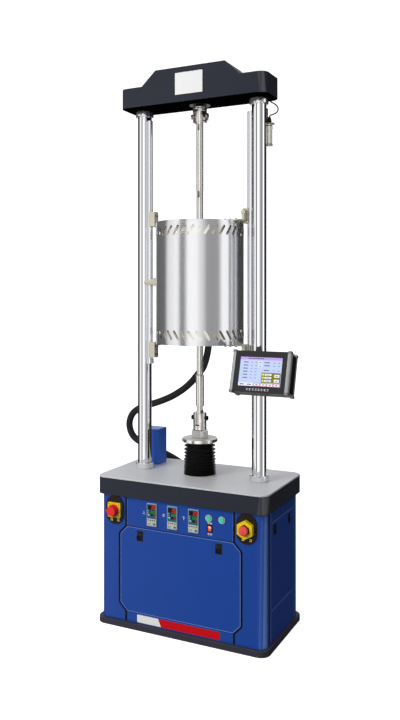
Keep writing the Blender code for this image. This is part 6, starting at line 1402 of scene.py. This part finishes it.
def dress_switches():
    """Add the marks of both oval plates, the ring round the knob and the plates' screws."""
    marks = bmesh.new()
    sign = ((-0.0052, 0.0034, 0.0052, 0.0056), (-0.0052, -0.0056, 0.0052, -0.0034),
            (-0.0040, -0.0034, -0.0016, 0.0034), (0.0016, -0.0034, 0.0040, 0.0034))
    for middle in (-SWITCH_X + 0.001, SWITCH_X + 0.002):
        for offset in (-0.0165, 0.0165):
            add_strokes(marks, sign, (middle + offset, CONTROL_Z - 0.0420), face=OVAL_FACE_Y)
    finished_piece(marks, "plate_marks", ["mark_yellow"], "root")
    ring = bmesh.new()
    high = SQUARE_FACE_Y - 0.0006
    low = SQUARE_FACE_Y - 0.00005
    add_turned(ring, [(0.0275, high), (0.0300, high), (0.0300, low), (0.0275, low)], ROD_STEPS,
               (-SWITCH_X, CONTROL_Z), "Y")
    finished_piece(ring, "switch_ring", ["amber"], "root")
    fixings = bmesh.new()
    for x, z in ((0.0245, 0.0245), (0.0245, -0.0245), (-0.0245, 0.0245), (-0.0245, -0.0245)):
        add_screw_head(fixings, (x - SWITCH_X, CONTROL_Z + z), SQUARE_FACE_Y, 0.0021)
    for label, side in SIDES:
        for z in (0.0520, -0.0520):
            add_screw_head(fixings, (side * SWITCH_X, CONTROL_Z + z), OVAL_FACE_Y, 0.0022)
    finished_piece(fixings, "plate_screws", ["oxide"], "root")


for label, centre_x, readings in zip(("left", "middle", "right"), CONTROLLER_XS,
                                     (("26", "600", "25"), ("26", "600", "25"), ("25", "600", "25"))):
    dress_controller(label, centre_x, readings)
dress_legends()
dress_switches()
print("instruments: controllers, legends and switch plates")

# %% [markdown]
# Crosshead
#
# The blank plate on the crosshead, with its thin dark edge.

# %% Crosshead
PLATE_CENTRE = (-0.0022, 2.2993)


def dress_crosshead():
    """Make the blank white plate on a dark backing."""
    bm = bmesh.new()
    middle = CROSSHEAD_FRONT_Y - 0.0008
    add_prism(bm, rounded_outline(0.1355, 0.0985, 0.0015, PLATE_CENTRE), middle, CROSSHEAD_FRONT_Y - 0.00005)
    add_prism(bm, rounded_outline(0.1295, 0.0925, 0.0010, PLATE_CENTRE), middle - 0.0003, middle, "Y", 1)
    finished_piece(bm, "crosshead_plate", ["oxide", "white"], "root")


dress_crosshead()
print("crosshead plate fitted")

# %% [markdown]
# Operator panel
#
# The panel's screen, rails and end caps are made flat about its pivot and then tilted with it. The screen
# shows generic fields and rows only.

# %% Operator panel
PANEL_HALF_HEIGHT = 0.086
PANEL_FACE_Y = -0.096
PANEL_BACK_Y = -0.014
PANEL_MIDDLE_Z = -0.003
SCREEN_WIDTH = 0.178
SCREEN_HEIGHT = 0.118
SCREEN_RECESS = 0.0015
SCREEN_LAYER = 0.00012


def tilted_piece(bm, name, finishes, edge=None):
    """Turn a mesh made flat about the pivot into the operator panel's place and finish it."""
    bmesh.ops.transform(bm, matrix=Matrix.Translation(PANEL_PIVOT) @ PANEL_TILT, verts=bm.verts)
    finished_piece(bm, name, finishes, "panel", edge=edge)


def add_fields(bm, layer, number, fields):
    """Add flat fields of the screen by left, low, right and high edge, in shares of its size."""
    start = PANEL_FACE_Y + SCREEN_RECESS - 0.0003
    corner_x = -SCREEN_WIDTH / 2
    corner_z = PANEL_MIDDLE_Z - SCREEN_HEIGHT / 2
    for left, low, right, high in fields:
        add_block(bm, (corner_x + left * SCREEN_WIDTH, start - SCREEN_LAYER * (layer + 1),
                       corner_z + low * SCREEN_HEIGHT),
                  (corner_x + right * SCREEN_WIDTH, start - SCREEN_LAYER * layer,
                   corner_z + high * SCREEN_HEIGHT), number)


def dress_screen():
    """Make the screen with a title bar, rows of readings, a field block and a row of keys."""
    bm = bmesh.new()
    add_fields(bm, 0, 0, [(0.006, 0.008, 0.994, 0.992)])
    add_fields(bm, 1, 1, [(0.006, 0.900, 0.994, 0.992)])
    add_fields(bm, 2, 2, [(0.20 + index * 0.042, 0.930, 0.228 + index * 0.042, 0.962) for index in range(9)])
    for row in range(6):
        level = 0.80 - row * 0.105
        add_fields(bm, 1, 3, [(0.09, level, 0.20, level + 0.026)])
        add_fields(bm, 1, 4, [(left, level, left + 0.04, level + 0.020) for left in (0.27, 0.37)])
    for level in (0.80, 0.70, 0.54):
        add_fields(bm, 1, 3, [(0.58, level, 0.71, level + 0.026)])
        add_fields(bm, 1, 4, [(left, level, left + 0.05, level + 0.020) for left in (0.79, 0.90)])
    for level in (0.80, 0.68):
        add_fields(bm, 1, 5, [(0.44, level - 0.02, 0.53, level + 0.05)])
        add_fields(bm, 2, 3, [(0.46, level, 0.51, level + 0.022)])
    add_fields(bm, 1, 6, [(0.54, 0.135, 0.985, 0.480)])
    for level in (0.380, 0.275, 0.170):
        add_fields(bm, 2, 7, [(0.56, level, 0.600, level + 0.062)])
        add_fields(bm, 2, 5, [(0.615, level, 0.775, level + 0.062)])
        add_fields(bm, 3, 4, [(0.650, level + 0.018, 0.740, level + 0.038)])
    for level in (0.330, 0.165):
        add_fields(bm, 2, 5, [(0.840, level, 0.960, level + 0.095)])
        add_fields(bm, 3, 3, [(0.875, level + 0.035, 0.925, level + 0.058)])
    for left in (0.012, 0.185):
        add_fields(bm, 1, 5, [(left, 0.015, left + 0.165, 0.115)])
        add_fields(bm, 2, 3, [(left + 0.035, 0.048, left + 0.130, 0.078)])
    for left in (0.375, 0.530, 0.685, 0.840):
        add_fields(bm, 1, 8, [(left, 0.010, left + 0.145, 0.120)])
        add_fields(bm, 2, 5, [(left + 0.010, 0.024, left + 0.135, 0.106)])
        add_fields(bm, 3, 3, [(left + 0.050, 0.052, left + 0.095, 0.078)])
    tilted_piece(bm, "screen_fields", ["screen", "title_bar", "ink", "ink", "soft_ink", "screen_white", "olive",
                                       "lime", "screen_red"])


def dress_panel_case():
    """Add the end caps of both rails, the side grooves and the printed strokes of the face."""
    caps = bmesh.new()
    lines = bmesh.new()
    outer = PANEL_HALF_WIDTH
    for label, side in SIDES:
        for end in (-1, 1):
            near = (side * (outer - RAIL_WIDTH - 0.0008), PANEL_MIDDLE_Z + end * (PANEL_HALF_HEIGHT - 0.0105))
            far = (side * (outer + 0.0012), PANEL_MIDDLE_Z + end * (PANEL_HALF_HEIGHT + 0.0010))
            for front, back in ((PANEL_FACE_Y - 0.0042, PANEL_FACE_Y + 0.0175),
                                (PANEL_BACK_Y - 0.0175, PANEL_BACK_Y + 0.0012)):
                add_block(caps, (near[0], front, near[1]), (far[0], back, far[1]))
        middle = side * (outer - RAIL_WIDTH / 2)
        for offset in (-0.0022, 0.0022):
            add_block(lines, (middle + offset - 0.0003, PANEL_FACE_Y - 0.00335, PANEL_MIDDLE_Z - 0.0750),
                      (middle + offset + 0.0003, PANEL_FACE_Y - 0.00302, PANEL_MIDDLE_Z + 0.0750))
        add_block(lines, (side * (outer + 0.0004), PANEL_FACE_Y + 0.0190, PANEL_MIDDLE_Z - 0.0745),
                  (side * (outer + 0.00005), PANEL_BACK_Y - 0.0190, PANEL_MIDDLE_Z + 0.0745))
    tilted_piece(caps, "rail_end_caps", ["cap_grey"], 0.0022)
    tilted_piece(lines, "rail_lines", ["plastic"])
    words = bmesh.new()
    sign = ((0.0, 0.0024, 0.0085, 0.0036), (0.0, -0.0036, 0.0085, -0.0024), (0.0036, -0.0036, 0.0049, 0.0036))
    for index in range(8):
        place = (-0.052 + index * 0.0125, PANEL_MIDDLE_Z - SCREEN_HEIGHT / 2 - 0.0125)
        add_strokes(words, sign, place, face=PANEL_FACE_Y)
    tilted_piece(words, "panel_strokes", ["white"])


dress_screen()
dress_panel_case()
print("operator panel: screen, rails and caps")

# %% [markdown]
# Studio
#
# The photograph has a pure white ground and a bank of upright light panels. The world gives the camera
# white, gives mirrors the panels as bands round the upright axis, and gives everything else soft light.

# %% Studio
PANEL_BANDS = (
    (-180, 0.85), (-167, 0.85), (-161, 0.012), (-99, 0.012), (-93, 0.80), (-80, 0.92), (-60, 1.15), (-56, 0.95),
    (-52, 0.19), (-38, 0.19), (-33, 1.20), (-8, 1.20), (8, 0.75), (18, 0.33), (48, 0.33), (60, 1.25), (79, 1.25),
    (85, 0.012), (106, 0.012), (116, 0.035), (155, 0.035), (162, 0.85), (180, 0.85),
)
SOFT_BANDS = (
    (-180, 0.35), (-130, 0.75), (-60, 1.00), (-10, 0.95), (25, 0.45), (60, 0.14), (130, 0.10), (180, 0.35),
)


def add_bands(tree, bands):
    """Add a ramp round the upright axis whose stops are given as degrees from the camera's side."""
    ramp = add_node(tree, "ValToRGB")
    stops = ramp.color_ramp.elements
    while len(stops) < len(bands):
        stops.new(1.0)
    for stop, (angle, level) in zip(stops, bands):
        stop.position = angle / 360.0 + 0.5
        stop.color = (level, level, level, 1.0)
    return ramp


def add_mix(tree, **colours):
    """Add a colour mix with the given fixed colours."""
    mix = add_node(tree, "Mix")
    mix.data_type = "RGBA"
    for key, colour in colours.items():
        mix.inputs[key].default_value = colour
    return mix


def studio_world():
    """Build the world: white for the camera, banded panels for mirrors, even light for the rest."""
    world = bpy.data.worlds.new("studio")
    bpy.context.scene.world = world
    world.use_nodes = True
    tree = world.node_tree
    tree.nodes.clear()
    back_to_camera_deg = CAMERA_TURN_DEG - 90.0
    place = add_node(tree, "TexCoord")
    split = add_node(tree, "SeparateXYZ")
    azimuth = add_node(tree, "Math", "ARCTAN2")
    turn = add_node(tree, "Math", "MULTIPLY_ADD", in_1=1.0 / math.tau, in_2=0.5 - back_to_camera_deg / 360.0)
    wrap = add_node(tree, "Math", "FRACT")
    ramp = add_bands(tree, PANEL_BANDS)
    sides = add_bands(tree, SOFT_BANDS)
    overhead = add_node(tree, "MapRange", From_Min=0.30, From_Max=0.85)
    sky = add_mix(tree, B=(1.0, 1.0, 1.0, 1.0))
    up = add_node(tree, "MapRange", From_Min=0.35, From_Max=0.75)
    blend = add_mix(tree, B=(0.62, 0.62, 0.65, 1.0))
    mirror = add_node(tree, "Background")
    soft = add_node(tree, "Background", Strength=0.72)
    white = add_node(tree, "Background", Color=(1.0, 1.0, 1.0, 1.0), Strength=1.2)
    path = add_node(tree, "LightPath")
    inner = add_node(tree, "MixShader")
    outer = add_node(tree, "MixShader")
    leave = add_node(tree, "OutputWorld")
    join(tree, (place, "Generated", split, 0), (split, "Y", azimuth, 0), (split, "X", azimuth, 1),
         (azimuth, 0, turn, 0), (turn, 0, wrap, 0), (wrap, 0, ramp, "Fac"), (split, "Z", up, "Value"),
         (up, "Result", blend, "Factor"), (ramp, "Color", blend, "A"), (wrap, 0, sides, "Fac"),
         (sides, "Color", sky, "A"), (split, "Z", overhead, "Value"), (overhead, "Result", sky, "Factor"),
         (sky, "Result", soft, "Color"), (blend, "Result", mirror, "Color"),
         (path, "Is Glossy Ray", inner, "Fac"), (soft, 0, inner, 1), (mirror, 0, inner, 2),
         (path, "Is Camera Ray", outer, "Fac"), (inner, 0, outer, 1), (white, 0, outer, 2),
         (outer, 0, leave, "Surface"))


def studio_floor():
    """Lay the pale floor, bright enough to end in pure white, with the machine's soft shadow on it."""
    mesh = bpy.data.meshes.new("studio_floor")
    half = 30.0
    drop = -0.0004
    mesh.from_pydata([(-half, -half, drop), (half, -half, drop), (half, half, drop), (-half, half, drop)],
                     [], [(0, 1, 2, 3)])
    floor = bpy.data.objects.new("studio_floor", mesh)
    bpy.context.scene.collection.objects.link(floor)
    material = bpy.data.materials.new("studio_floor")
    material.use_nodes = True
    tree = material.node_tree
    shader = tree.nodes["Principled BSDF"]
    shader.inputs["Roughness"].default_value = 0.9
    shader.inputs["Specular IOR Level"].default_value = 0.0
    shader.inputs["Emission Color"].default_value = (1.0, 1.0, 1.0, 1.0)
    tone = add_mix(tree, A=(0.05, 0.05, 0.05, 1.0), B=(0.92, 0.92, 0.92, 1.0))
    path = add_node(tree, "LightPath")
    lift = add_node(tree, "Math", "MULTIPLY", in_1=0.75)
    join(tree, (path, "Is Camera Ray", tone, "Factor"), (tone, "Result", shader, "Base Color"),
         (path, "Is Camera Ray", lift, 0), (lift, 0, shader, "Emission Strength"))
    mesh.materials.append(material)
    floor.visible_glossy = False


def studio_light(name, place, aim, size, power):
    """Add a square soft light that looks at a point."""
    data = bpy.data.lights.new(name, "AREA")
    data.shape = "SQUARE"
    data.size = size
    data.energy = power
    light = bpy.data.objects.new(name, data)
    light.location = place
    light.rotation_euler = (Vector(aim) - Vector(place)).to_track_quat("-Z", "Y").to_euler()
    light.visible_glossy = False
    bpy.context.scene.collection.objects.link(light)


studio_world()
studio_floor()
studio_light("key_light", (-1.6, -3.6, 2.6), (0.0, 0.0, 0.9), 2.2, 95.0)
print("studio: world bands, floor and key light")
